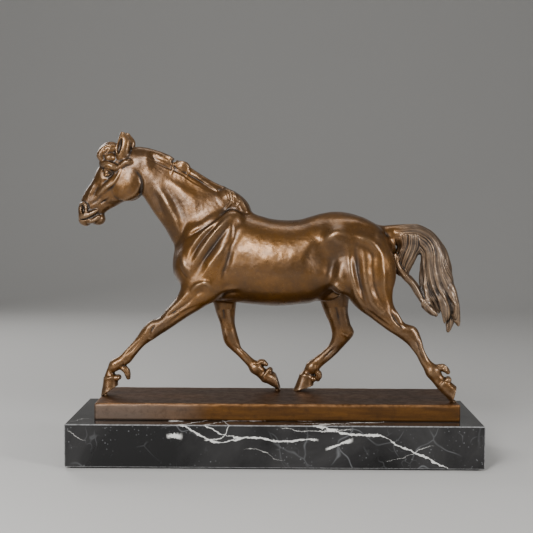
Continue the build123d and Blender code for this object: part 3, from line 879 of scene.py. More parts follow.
NEAR_HIND_STROKES = [
    ([(66, 135), (79, 124.5), (92, 115.5), (103, 108)], 1.5, -0.8),
    ([(72, 140), (84, 129), (95, 120.5)], 2.4, 0.7),
    ([(98.5, 130), (102.5, 121), (108, 114.6)], 1.1, 0.9),
    ([(95, 130), (98.5, 121), (104, 114), (110, 110)], 1.3, -1.1),
    ([(104.4, 117.4), (107, 112.8), (112.6, 111.6), (117, 112.6)], 1.2, 0.6),
    ([(113, 106.6), (117.4, 100), (120.4, 92), (125, 84)], 0.9, -0.55),
    ([(118.4, 108.4), (121.2, 100), (123.8, 92), (128.6, 84)], 1.0, 0.4),
    ([(110, 101), (115.6, 93), (120.4, 84.6)], 1.3, 0.3),
    ([(134.6, 62.8), (139.4, 67), (143.6, 71.4)], 1.0, 0.5),
]
OFF_HIND_STROKES = [
    ([(45, 142), (50, 122), (55, 102)], 1.9, -0.8),
    ([(38.6, 142), (44, 122), (50, 102)], 2.2, 0.7),
    ([(55, 140), (57, 120), (61, 102)], 1.6, 0.7),
    ([(52, 104), (57.6, 101), (62, 97)], 1.5, 0.5),
    ([(50, 92), (43, 84.6), (35.6, 77)], 0.9, -0.55),
    ([(53, 90.6), (46, 83), (39, 75.6)], 1.0, 0.4),
    ([(17.4, 66.4), (24, 64.6), (29.6, 63.4)], 1.0, 0.5),
]
HEAD_STROKES = [
    ([(-153, 226), (-142, 232.6), (-137.4, 240), (-134.6, 248)], 1.5, 0.9),
    ([(-155, 231), (-146, 236.6), (-141, 243.6)], 2.2, -0.7),
    ([(-152, 222), (-143, 218.4), (-134, 218), (-124.6, 222.8), (-118.6, 232)], 1.8, 0.55),
    ([(-156, 220), (-147, 214.4), (-138, 213)], 2.0, -0.6),
    ([(-128, 217.6), (-120.6, 222.6), (-117.4, 231), (-120.4, 240.6), (-127, 246)], 1.5, -1.0),
    ([(-157.6, 236), (-162.6, 226.4), (-167.4, 217)], 1.0, 0.45),
    ([(-153, 236), (-158.4, 226), (-164, 216)], 1.6, -0.5),
    ([(-158, 213), (-151, 217), (-145.4, 220.4)], 1.0, -0.6),
    ([(-151, 225), (-158, 217.4), (-166, 213)], 1.4, -0.4),
    ([(-165.6, 216.4), (-165, 211), (-166.4, 206)], 0.9, -0.4),
    ([(-155, 207), (-150.4, 209.6), (-146, 213.4)], 1.1, -0.45),
    ([(-151.4, 246.6), (-147, 246.8), (-142.6, 244.4)], 0.9, -0.45),
]


def crest_locks():
    """Fine wavy hairs along the crest of the neck, as strokes."""
    crest = np.array([(-123, 259), (-110, 255.5), (-97, 250.5), (-84, 244), (-70, 236), (-50, 226.5)])
    strokes = []
    for n in range(4):
        drop = 0.6 + 1.35 * n
        line = [(u - 0.35 * drop, w - drop + 0.5 * math.sin(0.23 * u + 0.8 * n)) for u, w in crest]
        strokes.append((line, 0.6, 0.12 if n % 2 else -0.16))
    border = [(-92, 243), (-84, 240.5), (-72, 237), (-58, 228), (-48, 223)]
    strokes.append((border, 1.5, -0.15))
    strokes.append(([(u + 0.3, w + 1.9) for u, w in border], 1.1, 0.2))
    return strokes


# The edges of the mane's locks, as (u, w) points: two loops on the crest, then those at the withers.
LOCK_OUTLINES = [
    [(-101.6, 256.4), (-95, 255), (-91.4, 251.8), (-91.4, 246), (-93, 238)],
    [(-90.4, 247.6), (-86, 250.6), (-81.4, 249.6), (-78.4, 245.8), (-79.6, 236.5)],
    [(-78, 243.6), (-70.3, 238), (-62.6, 232.4), (-55, 227.6), (-48, 223)],
    [(-50, 228.6), (-44.4, 227.4), (-40.5, 222.9), (-39.6, 217.7), (-43.2, 212.6), (-50.5, 206.6)],
    [(-43.6, 228), (-39, 224.6), (-36, 220), (-33.4, 216), (-34.6, 213.6), (-39, 216.6)],
    [(-35.6, 222.6), (-31, 216.4), (-25.6, 207)],
]


def lock_hairs():
    """The mane's locks: a raised line along each edge, and a shallow groove by the lower ones."""
    strokes = []
    for line in LOCK_OUTLINES:
        strokes.append((line, 0.9, 1.4))
    for line in LOCK_OUTLINES[3:]:  # at the withers
        beside = [(u - 2.2, w - 1.4) for u, w in line]
        strokes.append((beside, 1.3, -0.5))
    return strokes


def forelock_hairs():
    """Grooves between the forelock's locks, on its sides."""
    strokes = []
    for n in range(5):
        reach = 6 - 1.1 * n
        line = [(-141 - 1.2 * n, 262.5), (-147.5, 258.6 + reach), (-153.6 + 0.3 * n, 256 + 0.4 * reach)]
        strokes.append((line, 0.55, -0.6))
        strokes.append(([(u + 0.8, w - 0.9) for u, w in line], 0.6, 0.4))
    return strokes


BODY_STROKES = NECK_STROKES + SHOULDER_STROKES + RIB_STROKES + HIP_STROKES
NEAR_STROKES = NEAR_FORE_STROKES + NEAR_HIND_STROKES
OFF_STROKES = OFF_FORE_STROKES + OFF_HIND_STROKES
NEARBY = 5  # how far outside a casting's box a stroke still reaches it, millimetres


def chase(chisel, low, high):
    """Presses the strokes that fall in a casting's box into its skin."""
    both = (-1, 1)
    near = both if high[1] < 0 else (-1,)
    off = both if low[1] > 0 else (1,)
    groups = (
        (BODY_STROKES + HEAD_STROKES, both),
        (crest_locks() + lock_hairs() + forelock_hairs(), both),
        (NEAR_STROKES, near),
        (OFF_STROKES, off),
    )
    for strokes, sides in groups:
        for line, width, rise in strokes:
            spots = np.array(line)
            ahead, behind = spots[:, 0] > low[0] - NEARBY, spots[:, 0] < high[0] + NEARBY
            if ahead.any() and behind.any():
                chisel.stroke(line, width, rise, sides)
    chisel.press()


# ---- hair and small unevenness --------------------------------------------------------
def comb_tail(skin):
    """Long wavy strands down the tail, cut along the way that each fall of hair runs."""
    points = skin.points
    nearest = np.full(len(points), np.inf)
    along, round_it = np.zeros(len(points)), np.zeros(len(points))
    for number, sweep in enumerate(TAIL_SWEEPS):
        u, w = points[:, 0][:, None], points[:, 2][:, None]
        station, q, past, depth, half, across = (x[:, 0] for x in sweep.locate(u, w))
        side = (points[:, 1] - across) / half
        away = np.abs(np.hypot(q / depth, side) - 1) + past
        closer = (away < 0.3) & (past <= 0) if number else away < nearest
        nearest = np.where(closer, away, nearest)
        along = np.where(closer, station, along)
        round_it = np.where(closer, np.arctan2(side, q / depth * 1.3) + 7 * number, round_it)
    bend = 0.22 * noise(along * 0.06, round_it * 0.7, 5) + 0.12 * np.sin(along * 0.12)
    # The dock is smooth at its seam, and combed beyond it and below it.
    start = np.clip((points[:, 0] - SEAMS["dock"][0][0]) / 12, 0, 1)
    start = np.maximum(start, np.clip((182 - points[:, 2]) / 8, 0, 1))
    coarse = 1 - 2 * np.abs(noise((round_it + bend) * 2.6, along * 0.012, 11))
    fine = noise((round_it + bend * 1.2) * 10.5, along * 0.022, 12)
    finest = noise((round_it + bend * 1.3) * 20, along * 0.04, 13)
    rise = 0.42 * coarse + 0.48 * fine + 0.3 * finest
    skin.points = points + (start * rise)[:, None] * skin.normals()


def combed(points):
    """How much a point belongs to the tail's hair, from 0 at the rump to 1."""
    share = np.clip((points[:, 0] - 95) / 24, 0, 1)
    return share * share * (3 - 2 * share)


def comb_tuft(skin, name):
    """Short hairs down the fetlock's tuft."""
    start, middle, end = (np.array(p, float) for p in TUFTS[name])
    way = (end - start) / np.linalg.norm(end - start)
    offset = skin.points[:, [0, 2]] - middle
    along = offset @ way
    aside = offset @ np.array([-way[1], way[0]])
    across = skin.points[:, 1] - np.median(skin.points[:, 1])
    near = np.exp(-((np.hypot(aside, along * 0.6) / 3.6) ** 2))
    hairs = noise(across * 1.5 + aside * 1.2 + 0.3 * np.sin(along), along * 0.12, 31)
    skin.points = skin.points + (0.42 * near * hairs)[:, None] * skin.normals()


def dab(skin, seed):
    """The faint facets that a modelling tool leaves, in a fixed pattern through space."""
    u, v, w = skin.points.T
    broad = noise(u * 0.16 + v * 0.05, w * 0.16 - v * 0.07, seed)
    small = noise(u * 0.5 + v * 0.21, w * 0.5 + v * 0.33, seed + 1)
    skin.points = skin.points + (0.14 * broad + 0.045 * small)[:, None] * skin.normals()


# ---- the castings ---------------------------------------------------------------------
# Each seam: its middle (u, v, w), the way it faces out of the trunk, and how far it reaches.
SEAMS = {
    "neck": ((-66.3, 0, 196.7), (-0.79, 0, 0.61), 52),
    "poll": ((-120.7, 0, 242.5), (-0.99, 0, -0.15), 32),
    "near_foreleg": ((-84, -18, 123), (-0.765, 0, -0.646), 17),
    "off_foreleg": ((-48, 18, 122.5), (0.1, 0, -0.995), 17),
    "near_hindleg": ((87, -18, 125.5), (0.69, 0, -0.73), 19),
    "off_hindleg": ((48.7, 18, 125.5), (0.1, 0, -0.995), 19),
    "dock": ((98.5, 0, 188.5), (1, 0, 0.12), 13.5),
}
ROUGHLY = 1.0


def cut(bm, name, outwards):
    """Cuts a mesh at a seam; outwards keeps what lies beyond it."""
    middle, facing, reach = SEAMS[name]
    centre = np.array(middle, float)
    limit = reach * reach
    local = []
    for face in bm.faces:
        corner = face.verts[0].co
        du, dv, dw = corner.x - centre[0], corner.y - centre[1], corner.z - centre[2]
        if du * du + dv * dv + dw * dw < limit:
            local.append(face)
    verts = list({v for face in local for v in face.verts})
    edges = list({e for face in local for e in face.edges})
    bmesh.ops.bisect_plane(
        bm,
        geom=verts + edges + local,
        dist=1e-4,
        plane_co=middle,
        plane_no=facing,
        clear_inner=outwards,
        clear_outer=not outwards,
    )


def keep_island(bm, spot):
    """Deletes all but the part of the mesh that holds the vertex nearest to spot."""
    u, v, w = spot
    first = min(bm.verts, key=lambda p: (p.co.x - u) ** 2 + (p.co.y - v) ** 2 + (p.co.z - w) ** 2)
    kept, edge_of_search = {first}, [first]
    while edge_of_search:
        vert = edge_of_search.pop()
        for link in vert.link_edges:
            other = link.other_vert(vert)
            if other not in kept:
                kept.add(other)
                edge_of_search.append(other)
    bmesh.ops.delete(bm, geom=[v for v in bm.verts if v not in kept], context="VERTS")


def casting(name, forms, low, high, step, seams, spot, extra=None):
    """Models, chases and cuts one casting, and puts it in its place as a Blender object.

    low, high and step are its clay's box and grid; seams are (name, keep what lies outwards); spot
    is a place by the part that stays; extra is a last touch on the skin.
    """
    clay = Clay(low, high, step * ROUGHLY)
    for shape, blend, carve in forms:
        clay.work(shape, blend, carve)
    clay.block = np.maximum(clay.block, (GROUND_W - clay.axes[2])[None, None, :].astype(np.float32))
    skin = Skin(*clay.skin())
    skin.settle(clay, 3)
    chase(Chisel(skin), low, high)
    if extra:
        extra(skin)
    dab(skin, 3)
    skin.points[:, 2] = np.maximum(skin.points[:, 2], GROUND_W)
    mesh = bpy.data.meshes.new(name)
    mesh.from_pydata(skin.points.tolist(), [], skin.faces.tolist())
    per_mm = 4 / clay.step**2  # makes curvature the same on grids of any step
    layers = {
        "ridge": skin.curvature(3) * per_mm,
        "swell": skin.curvature(40) * per_mm,
        "hair": combed(skin.points) * (name == "tail_casting"),
    }
    for layer, values in layers.items():
        data = mesh.attributes.new(layer, "FLOAT", "POINT").data
        data.foreach_set("value", values.astype(np.float32))
    carried = mesh.attributes.new("carried", "FLOAT_VECTOR", "POINT")
    carried.data.foreach_set("vector", skin.normals().astype(np.float32).ravel())
    bm = bmesh.new()
    bm.from_mesh(mesh)
    for seam, outwards in seams:
        cut(bm, seam, outwards)
    keep_island(bm, spot)
    rims = [edge for edge in bm.edges if edge.is_boundary]
    bmesh.ops.holes_fill(bm, edges=rims, sides=0)
    bm.to_mesh(mesh)
    bm.free()
    return place_horse_mesh(name, mesh)


def place_horse_mesh(name, mesh):
    """Moves a mesh from the horse's frame to the row's, with the normals that it carried."""
    count = len(mesh.vertices)
    flat = np.empty(count * 3, np.float32)
    mesh.vertices.foreach_get("co", flat)
    mesh.vertices.foreach_set("co", to_world(flat.reshape(-1, 3)).astype(np.float32).ravel())
    normals = np.empty(count * 3, np.float32)
    mesh.attributes["carried"].data.foreach_get("vector", normals)
    normals = normals.reshape(-1, 3)
    turned = turn_horse(normals)
    turned /= np.maximum(np.linalg.norm(turned, axis=1), 1e-6)[:, None]
    mesh.attributes.remove(mesh.attributes["carried"])
    mesh.shade_smooth()
    mesh.update()
    mesh.normals_split_custom_set_from_vertices(turned.tolist())
    return linked(name, mesh)


# ---- materials ------------------------------------------------------------------------
class Nodes:
    """Short names for the nodes that the materials are made of.

    Every method gives the socket to link onwards, and takes sockets or plain values.
    """

    def __init__(self, name):
        self.material = bpy.data.materials.new(name)
        self.material.use_nodes = True
        self.tree = self.material.node_tree
        self.shader = self.tree.nodes["Principled BSDF"]
        self.place = self.add("ShaderNodeTexCoord").outputs["Object"]

    def add(self, kind, **settings):
        """A new node, the only method that gives the node itself."""
        node = self.tree.nodes.new(kind)
        for key, value in settings.items():
            setattr(node, key, value)
        return node

    def link(self, source, target):
        """Links a socket to another, or sets a plain value on it."""
        if isinstance(source, bpy.types.NodeSocket):
            self.tree.links.new(source, target)
        else:
            target.default_value = source

    def set(self, **values):
        """Sets or links the shader's own sockets."""
        for key, value in values.items():
            self.link(value, self.shader.inputs[key.replace("_", " ")])

    def math(self, operation, a, b=0.0, clamp=False):
        """One sum; clamp keeps it between 0 and 1."""
        node = self.add("ShaderNodeMath", operation=operation, use_clamp=clamp)
        self.link(a, node.inputs[0])
        self.link(b, node.inputs[1])
        return node.outputs[0]

    def attribute(self, name):
        """One of the numbers that the meshes carry, such as ridge or wear."""
        return self.add("ShaderNodeAttribute", attribute_name=name).outputs["Fac"]

    def stretch(self, scale):
        """The object's coordinates, scaled along each axis."""
        node = self.add("ShaderNodeMapping")
        self.link(self.place, node.inputs["Vector"])
        node.inputs["Scale"].default_value = scale
        return node.outputs["Vector"]

    def noise(self, scale, detail=4.0, rough=0.55, place=None, distortion=0.0):
        """Cloudy noise from 0 to 1; scale is in cells to the metre."""
        node = self.add("ShaderNodeTexNoise")
        self.link(place or self.place, node.inputs["Vector"])
        node.inputs["Scale"].default_value = scale
        node.inputs["Detail"].default_value = detail
        node.inputs["Roughness"].default_value = rough
        node.inputs["Distortion"].default_value = distortion
        return node.outputs["Fac"]

    def cells(self, scale, feature="F1", place=None):
        """Distance to the nearest cell's middle, or to its edge."""
        node = self.add("ShaderNodeTexVoronoi", feature=feature)
        self.link(place or self.place, node.inputs["Vector"])
        node.inputs["Scale"].default_value = scale
        return node.outputs["Distance"]

    def warp(self, strength, scale):
        """The object's coordinates, pushed about by noise."""
        push = self.add("ShaderNodeTexNoise")
        self.link(self.place, push.inputs["Vector"])
        push.inputs["Scale"].default_value = scale
        node = self.add("ShaderNodeVectorMath", operation="MULTIPLY_ADD")
        self.link(push.outputs["Color"], node.inputs[0])
        node.inputs[1].default_value = (strength, strength, strength)
        self.link(self.place, node.inputs[2])
        return node.outputs[0]

    def span(self, value, low, high, out_low=0.0, out_high=1.0):
        """A value from low to high, made to run from out_low to out_high and no further."""
        node = self.add("ShaderNodeMapRange")
        self.link(value, node.inputs["Value"])
        limits = {"From Min": low, "From Max": high, "To Min": out_low, "To Max": out_high}
        for key, number in limits.items():
            node.inputs[key].default_value = number
        return node.outputs["Result"]

    def mix(self, share, a, b):
        """Colour a turning into colour b as share goes from 0 to 1."""
        node = self.add("ShaderNodeMix", data_type="RGBA")
        self.link(share, node.inputs["Factor"])
        for value, socket in ((a, node.inputs[6]), (b, node.inputs[7])):
            self.link(value if isinstance(value, bpy.types.NodeSocket) else (*value, 1), socket)
        return node.outputs[2]

    def bump(self, height, distance, strength=1.0, normal=None):
        """Relief of a height from 0 to 1 that stands distance metres, over another relief."""
        node = self.add("ShaderNodeBump")
        self.link(height, node.inputs["Height"])
        node.inputs["Distance"].default_value = distance
        node.inputs["Strength"].default_value = strength
        if normal:
            self.link(normal, node.inputs["Normal"])
        return node.outputs["Normal"]


def bronze():
    """Patinated bronze: dark in the hollows, golden where handled, greyer in the hair, waxed."""
    n = Nodes("bronze patina")
    ridge, swell, hair = n.attribute("ridge"), n.attribute("swell"), n.attribute("hair")
    cloud = n.noise(26, 5, 0.6)
    mottle = n.noise(150, 5, 0.65)
    speck = n.noise(900, 3, 0.6)
    hollow = n.span(n.math("ADD", n.math("MULTIPLY", ridge, 0.4), swell), -0.03, -0.3)
    raised = n.span(n.math("ADD", n.math("MULTIPLY", ridge, 0.8), swell), 0.1, 0.5)
    raised = n.math("MULTIPLY", raised, n.span(mottle, 0.3, 0.62, 0.35, 1.0), clamp=True)
    brown, gold, dark = (0.09, 0.042, 0.012), (0.165, 0.068, 0.008), (0.04, 0.021, 0.01)
    deep, worn = (0.012, 0.007, 0.004), (0.3, 0.19, 0.105)
    hair_dark, hair_light = (0.1, 0.066, 0.043), (0.15, 0.105, 0.072)
    colour = n.mix(n.span(cloud, 0.38, 0.66), brown, gold)
    colour = n.mix(n.span(mottle, 0.45, 0.72, 0.0, 0.4), colour, dark)
    strands = n.mix(n.span(mottle, 0.36, 0.66), hair_dark, hair_light)
    colour = n.mix(hair, colour, strands)
    colour = n.mix(n.math("MULTIPLY", hollow, 0.88), colour, deep)
    colour = n.mix(n.math("MULTIPLY", raised, 0.6), colour, worn)
    colour = n.mix(n.span(speck, 0.62, 0.74, 0.0, 0.3), colour, worn)
    blend = n.math("ADD", n.math("MULTIPLY", mottle, 0.6), n.math("MULTIPLY", speck, 0.4))
    rough = n.span(blend, 0.35, 0.7, 0.25, 0.42)
    rough = n.math("ADD", rough, n.math("MULTIPLY", hollow, 0.16))
    rough = n.math("ADD", rough, n.math("MULTIPLY", hair, 0.08))
    rough = n.math("SUBTRACT", rough, n.math("MULTIPLY", raised, 0.06), clamp=True)
    normal = n.bump(n.noise(420, 4, 0.6), 0.00012, 0.5)
    normal = n.bump(n.noise(2400, 2, 0.5), 0.00003, 0.5, normal)
    n.set(Base_Color=colour, Metallic=0.66, Roughness=rough, Normal=normal)
    n.set(Coat_Weight=0.38, Coat_Roughness=0.24, Coat_IOR=1.5)
    return n.material


def plinth_bronze():
    """Cast bronze plate: brown on top, streaked on its sides, greyer to the left, worn edges."""
    n = Nodes("bronze plate")
    wear = n.attribute("wear")
    side = n.attribute("side")
    streak = n.noise(60, 5, 0.6, n.stretch((0.35, 0.35, 3.0)))
    mottle = n.noise(170, 5, 0.65)
    blotch = n.noise(24, 4, 0.55, n.stretch((0.5, 1.3, 1)))
    top_dark, top_light, top_pit = (0.07, 0.027, 0.006), (0.14, 0.056, 0.011), (0.018, 0.009, 0.005)
    side_dark, side_light, side_pit = (0.08, 0.035, 0.01), (0.165, 0.07, 0.014), (0.035, 0.018, 0.01)
    greyed, bare = (0.16, 0.12, 0.095), (0.42, 0.22, 0.1)
    colour = n.mix(n.span(blotch, 0.35, 0.68), top_dark, top_light)
    colour = n.mix(n.span(mottle, 0.45, 0.75, 0.0, 0.6), colour, top_pit)
    faced = n.mix(n.span(streak, 0.35, 0.7), side_dark, side_light)
    parts = n.add("ShaderNodeSeparateXYZ")
    n.link(n.place, parts.inputs[0])
    ragged = n.math("MULTIPLY", n.math("SUBTRACT", blotch, 0.5), 0.12)
    along = n.math("ADD", parts.outputs[0], ragged)
    faced = n.mix(n.span(along, -0.045, -0.105, 0, 0.8), faced, greyed)
    faced = n.mix(n.span(mottle, 0.5, 0.75, 0.0, 0.5), faced, side_pit)
    colour = n.mix(side, colour, faced)
    chipped = n.math("MULTIPLY", wear, n.span(n.noise(230, 4, 0.7), 0.34, 0.6), clamp=True)
    colour = n.mix(n.math("MULTIPLY", chipped, 0.7), colour, bare)
    rough = n.span(mottle, 0.3, 0.7, 0.34, 0.5)
    rough = n.math("ADD", rough, n.math("MULTIPLY", side, 0.12), clamp=True)
    normal = n.bump(n.noise(330, 5, 0.6), 0.00022, 0.5)
    normal = n.bump(n.noise(1900, 2, 0.5), 0.00004, 0.6, normal)
    n.set(Base_Color=colour, Metallic=0.8, Roughness=rough, Normal=normal)
    return n.material


# The white veins: (x, z) points on the marble's front face, millimetres, each vein's half width, and
# the stretch of x that it is seen in. Each line is a curve over the whole of VEIN_X and VEIN_Z.
VEIN_X, VEIN_Z = (-170, 170), (-10, 50)
BOLD_VEIN = 0.5  # veins wider than this are solid white
VEINS = (
    ([(-170, 39), (-78, 38), (-66, 32), (-56, 26.6), (-44, 22.4), (-32, 24.6), (-19, 26.6),
      (-4, 25.2), (8, 24.2), (28, 25.4), (40, 24.6), (60, 30.5), (170, 40)], 0.8, (-76, 32)),
    ([(-170, 50), (24, 38), (34, 35.6), (45, 33), (62, 29.2), (76, 29), (86, 27.4), (95, 22.6),
      (103, 19), (122, 11.4), (142, 1.6), (170, -9)], 0.9, (23, 150)),
    ([(-170, 24), (-60, 24), (-46, 25), (-38, 31), (-34, 38), (170, 46)], 0.7, (-54, -32)),
    ([(-170, 37), (-56, 37), (-48, 33), (-40, 29), (-30, 27), (170, 27)], 0.55, (-58, -28)),
    ([(-170, 36), (10, 35), (22, 31.5), (36, 31.8), (52, 33), (170, 33)], 0.35, (6, 60)),
    ([(-170, 27.5), (170, 27.5)], 3.4, (-84.5, -77.5)),
    ([(-170, -10), (44, 18), (58, 23.6), (170, 50)], 1.4, (44, 60)),
    ([(-170, 34), (-163, 30), (-156, 23), (170, 20)], 0.5, (-165, -156)),
    ([(-170, 14), (-20, 17), (-8, 15), (4, 9), (170, 9)], 0.2, (-22, 4)),
    ([(-170, 8), (90, 8), (110, 13), (124, 20), (170, 22)], 0.2, (92, 126)),
)


def marble():
    """Polished black stone with white veins that run back through the block, and a painted highlight on
    its sloping edges.
    """
    n = Nodes("polished black marble")
    parts = n.add("ShaderNodeSeparateXYZ")
    n.link(n.place, parts.inputs[0])
    x, y, z = parts.outputs
    wander = n.math("SUBTRACT", n.noise(38, 5, 0.65), 0.5)
    jitter = n.math("SUBTRACT", n.noise(260, 4, 0.7), 0.5)
    lean = n.math("MULTIPLY", n.math("ADD", y, 0.06), 0.55)
    cloud = n.noise(13, 6, 0.6, distortion=0.6)
    black, charcoal = (0.006, 0.0058, 0.006), (0.032, 0.031, 0.031)
    # worn is the pale grey of the painted highlight on the sloping edge faces.
    grey, white, worn = (0.3, 0.31, 0.32), (0.66, 0.65, 0.62), (0.3, 0.3, 0.3)
    colour = n.mix(n.span(cloud, 0.38, 0.68), black, charcoal)
    veins = None
    (left, right), (foot, top) = VEIN_X, VEIN_Z
    for points, width, (start, end) in VEINS:
        curve = n.add("ShaderNodeFloatCurve")
        line = curve.mapping.curves[0]
        for _ in range(len(points) - 2):
            line.points.new(0.5, 0.5)
        for spot, (px, pz) in zip(line.points, points):
            spot.location = ((px - left) / (right - left), (pz - foot) / (top - foot))
        curve.mapping.update()
        across = n.math("ADD", x, n.math("MULTIPLY", wander, 0.012))
        n.link(n.span(across, left * MM, right * MM), curve.inputs["Value"])
        height = n.span(curve.outputs[0], 0, 1, foot * MM, top * MM)
        level = n.math("ADD", n.math("SUBTRACT", z, lean), n.math("MULTIPLY", jitter, 0.0042))
        level = n.math("ADD", level, n.math("MULTIPLY", wander, 0.007))
        away = n.math("ABSOLUTE", n.math("SUBTRACT", level, height))
        swelling = n.span(n.noise(75, 3, 0.6), 0.3, 0.72, 0.15, 1.7)
        core = n.math("MULTIPLY", swelling, width * MM)
        mask = n.math("SUBTRACT", 1.0, n.math("DIVIDE", away, core), clamp=True)
        mask = n.math("MULTIPLY", mask, n.span(x, (start - 3) * MM, (start + 3) * MM))
        mask = n.math("MULTIPLY", mask, n.span(x, (end + 4) * MM, (end - 4) * MM))
        mask = n.math("MULTIPLY", mask, 3.0 if width > BOLD_VEIN else 1.1, clamp=True)
        veins = mask if veins is None else n.math("MAXIMUM", veins, mask)
    threads = n.cells(26, "DISTANCE_TO_EDGE", n.warp(0.05, 22))
    threads = n.math("MULTIPLY", n.span(threads, 0.022, 0.0), n.span(n.noise(20, 3), 0.5, 0.64))
    fine = n.cells(58, "DISTANCE_TO_EDGE", n.warp(0.03, 45))
    fine = n.math("MULTIPLY", n.span(fine, 0.03, 0.0), n.span(n.noise(31, 3), 0.55, 0.68, 0, 0.5))
    fleck = n.math("MULTIPLY", n.span(n.cells(300), 0.2, 0.1), n.span(n.noise(46, 3), 0.5, 0.62))
    faint = n.math("MAXIMUM", n.math("MULTIPLY", threads, 0.3), n.math("MULTIPLY", fine, 0.3))
    faint = n.math("MAXIMUM", faint, n.math("MULTIPLY", fleck, 0.35), clamp=True)
    colour = n.mix(faint, colour, grey)
    colour = n.mix(veins, colour, white)
    # Painted highlight: the sloping edge faces, marked in the wear layer, turn pale grey in patches, and
    # are rougher too.
    arris_highlight = n.math("MULTIPLY", n.attribute("wear"), n.span(n.noise(300, 4, 0.7), 0.32, 0.6, 0.35, 1))
    colour = n.mix(arris_highlight, colour, worn)
    rough = n.math("ADD", n.span(n.noise(120, 4), 0.3, 0.7, 0.07, 0.13), n.math("MULTIPLY", veins, 0.1))
    rough = n.math("ADD", rough, n.math("MULTIPLY", arris_highlight, 0.3))
    n.set(Base_Color=colour, Roughness=rough, Normal=n.bump(n.noise(900, 3, 0.6), 0.00001, 0.4))
    n.set(IOR=1.5, Specular_IOR_Level=0.3)
    return n.material


def felt():
    """Black felt: fibrous, with paler tufts and no shine."""
    n = Nodes("black felt")
    fibre = n.noise(1400, 5, 0.7, distortion=2.0)
    tuft = n.noise(260, 4, 0.6)
    colour = n.mix(n.span(fibre, 0.35, 0.7), (0.006, 0.006, 0.007), (0.04, 0.04, 0.044))
    colour = n.mix(n.span(tuft, 0.5, 0.75, 0, 0.5), colour, (0.07, 0.068, 0.066))
    n.set(Base_Color=colour, Roughness=0.97, Normal=n.bump(fibre, 0.0003, 0.9))
    n.set(Sheen_Weight=0.4, Sheen_Roughness=0.5)
    return n.material


def metal(name, dark, light, gloss):
    """Turned or drawn metal, with fine marks round its axis and some tarnish."""
    n = Nodes(name)
    marks = n.noise(1500, 3, 0.6, n.stretch((0.3, 0.3, 4)))
    tarnish = n.noise(240, 5, 0.65)
    colour = n.mix(n.span(tarnish, 0.35, 0.7), dark, light)
    colour = n.mix(n.span(marks, 0.4, 0.7, 0, 0.35), colour, dark)
    rough = n.span(n.math("ADD", marks, tarnish), 0.7, 1.3, gloss, gloss + 0.2)
    n.set(Base_Color=colour, Metallic=1.0, Roughness=rough, Normal=n.bump(marks, 0.00004, 0.6))
    return n.material


# ---- the base -------------------------------------------------------------------------
PLATE_CORNER = 2.5 * MM
PLATE_EDGE = 1.2 * MM  # the radius that the plate's top edge is rounded to
PLATE_GRAIN = 0.9 * MM  # between points along the plate's sides
PLATE_WAVER = 0.55 * MM  # how far the worn edge wanders
EDGE_STEPS, CORNER_STEPS, WALL_STEPS = 6, 6, 8
LEAST_CORNER = 0.2 * MM


def box_ring(low, high, inset, long_count, short_count):
    """(x, y) points round the plate, inset evenly from its box, with rounded corners."""
    radius = max(PLATE_CORNER - inset, LEAST_CORNER)
    x0, y0 = low[0] + inset + radius, low[1] + inset + radius
    x1, y1 = high[0] - inset - radius, high[1] - inset - radius
    corners = [(x1, y0), (x1, y1), (x0, y1), (x0, y0)]
    ring = []
    for number, (cx, cy) in enumerate(corners):
        start = 90 * (number - 1)
        for step in range(CORNER_STEPS + 1):
            turn = math.radians(start + 90 * step / CORNER_STEPS)
            ring.append((cx + radius * math.cos(turn), cy + radius * math.sin(turn)))
        nx, ny = corners[(number + 1) % 4]
        way = math.radians(start + 90)
        a = (cx + radius * math.cos(way), cy + radius * math.sin(way))
        b = (nx + radius * math.cos(way), ny + radius * math.sin(way))
        gaps = long_count if number % 2 else short_count
        for step in range(1, gaps):
            t = step / gaps
            ring.append((a[0] + (b[0] - a[0]) * t, a[1] + (b[1] - a[1]) * t))
    return np.array(ring)


def plate_profile(bottom, top):
    """(inset, z, wear, side) rows: up from the bottom, round the top edge, and onto the top."""
    straight = top - PLATE_EDGE - bottom
    rows = [(0, bottom + straight * n / WALL_STEPS, 0, 1) for n in range(WALL_STEPS)]
    for n in range(EDGE_STEPS + 1):
        turn = math.pi / 2 * n / EDGE_STEPS
        inset = PLATE_EDGE * (1 - math.cos(turn))
        height = top - PLATE_EDGE + PLATE_EDGE * math.sin(turn)
        wear = math.sin(2 * turn) * 0.6 + 0.4
        rows.append((inset, height, wear, 1 - n / EDGE_STEPS))
    inset = PLATE_EDGE
    for gap, wear in ((0.5, 0.32), (0.6, 0.2), (0.9, 0.1), (1.5, 0.04), (3, 0), (8, 0), (14, 0)):
        inset += gap * MM
        rows.append((inset, top, wear, 0))
    return rows


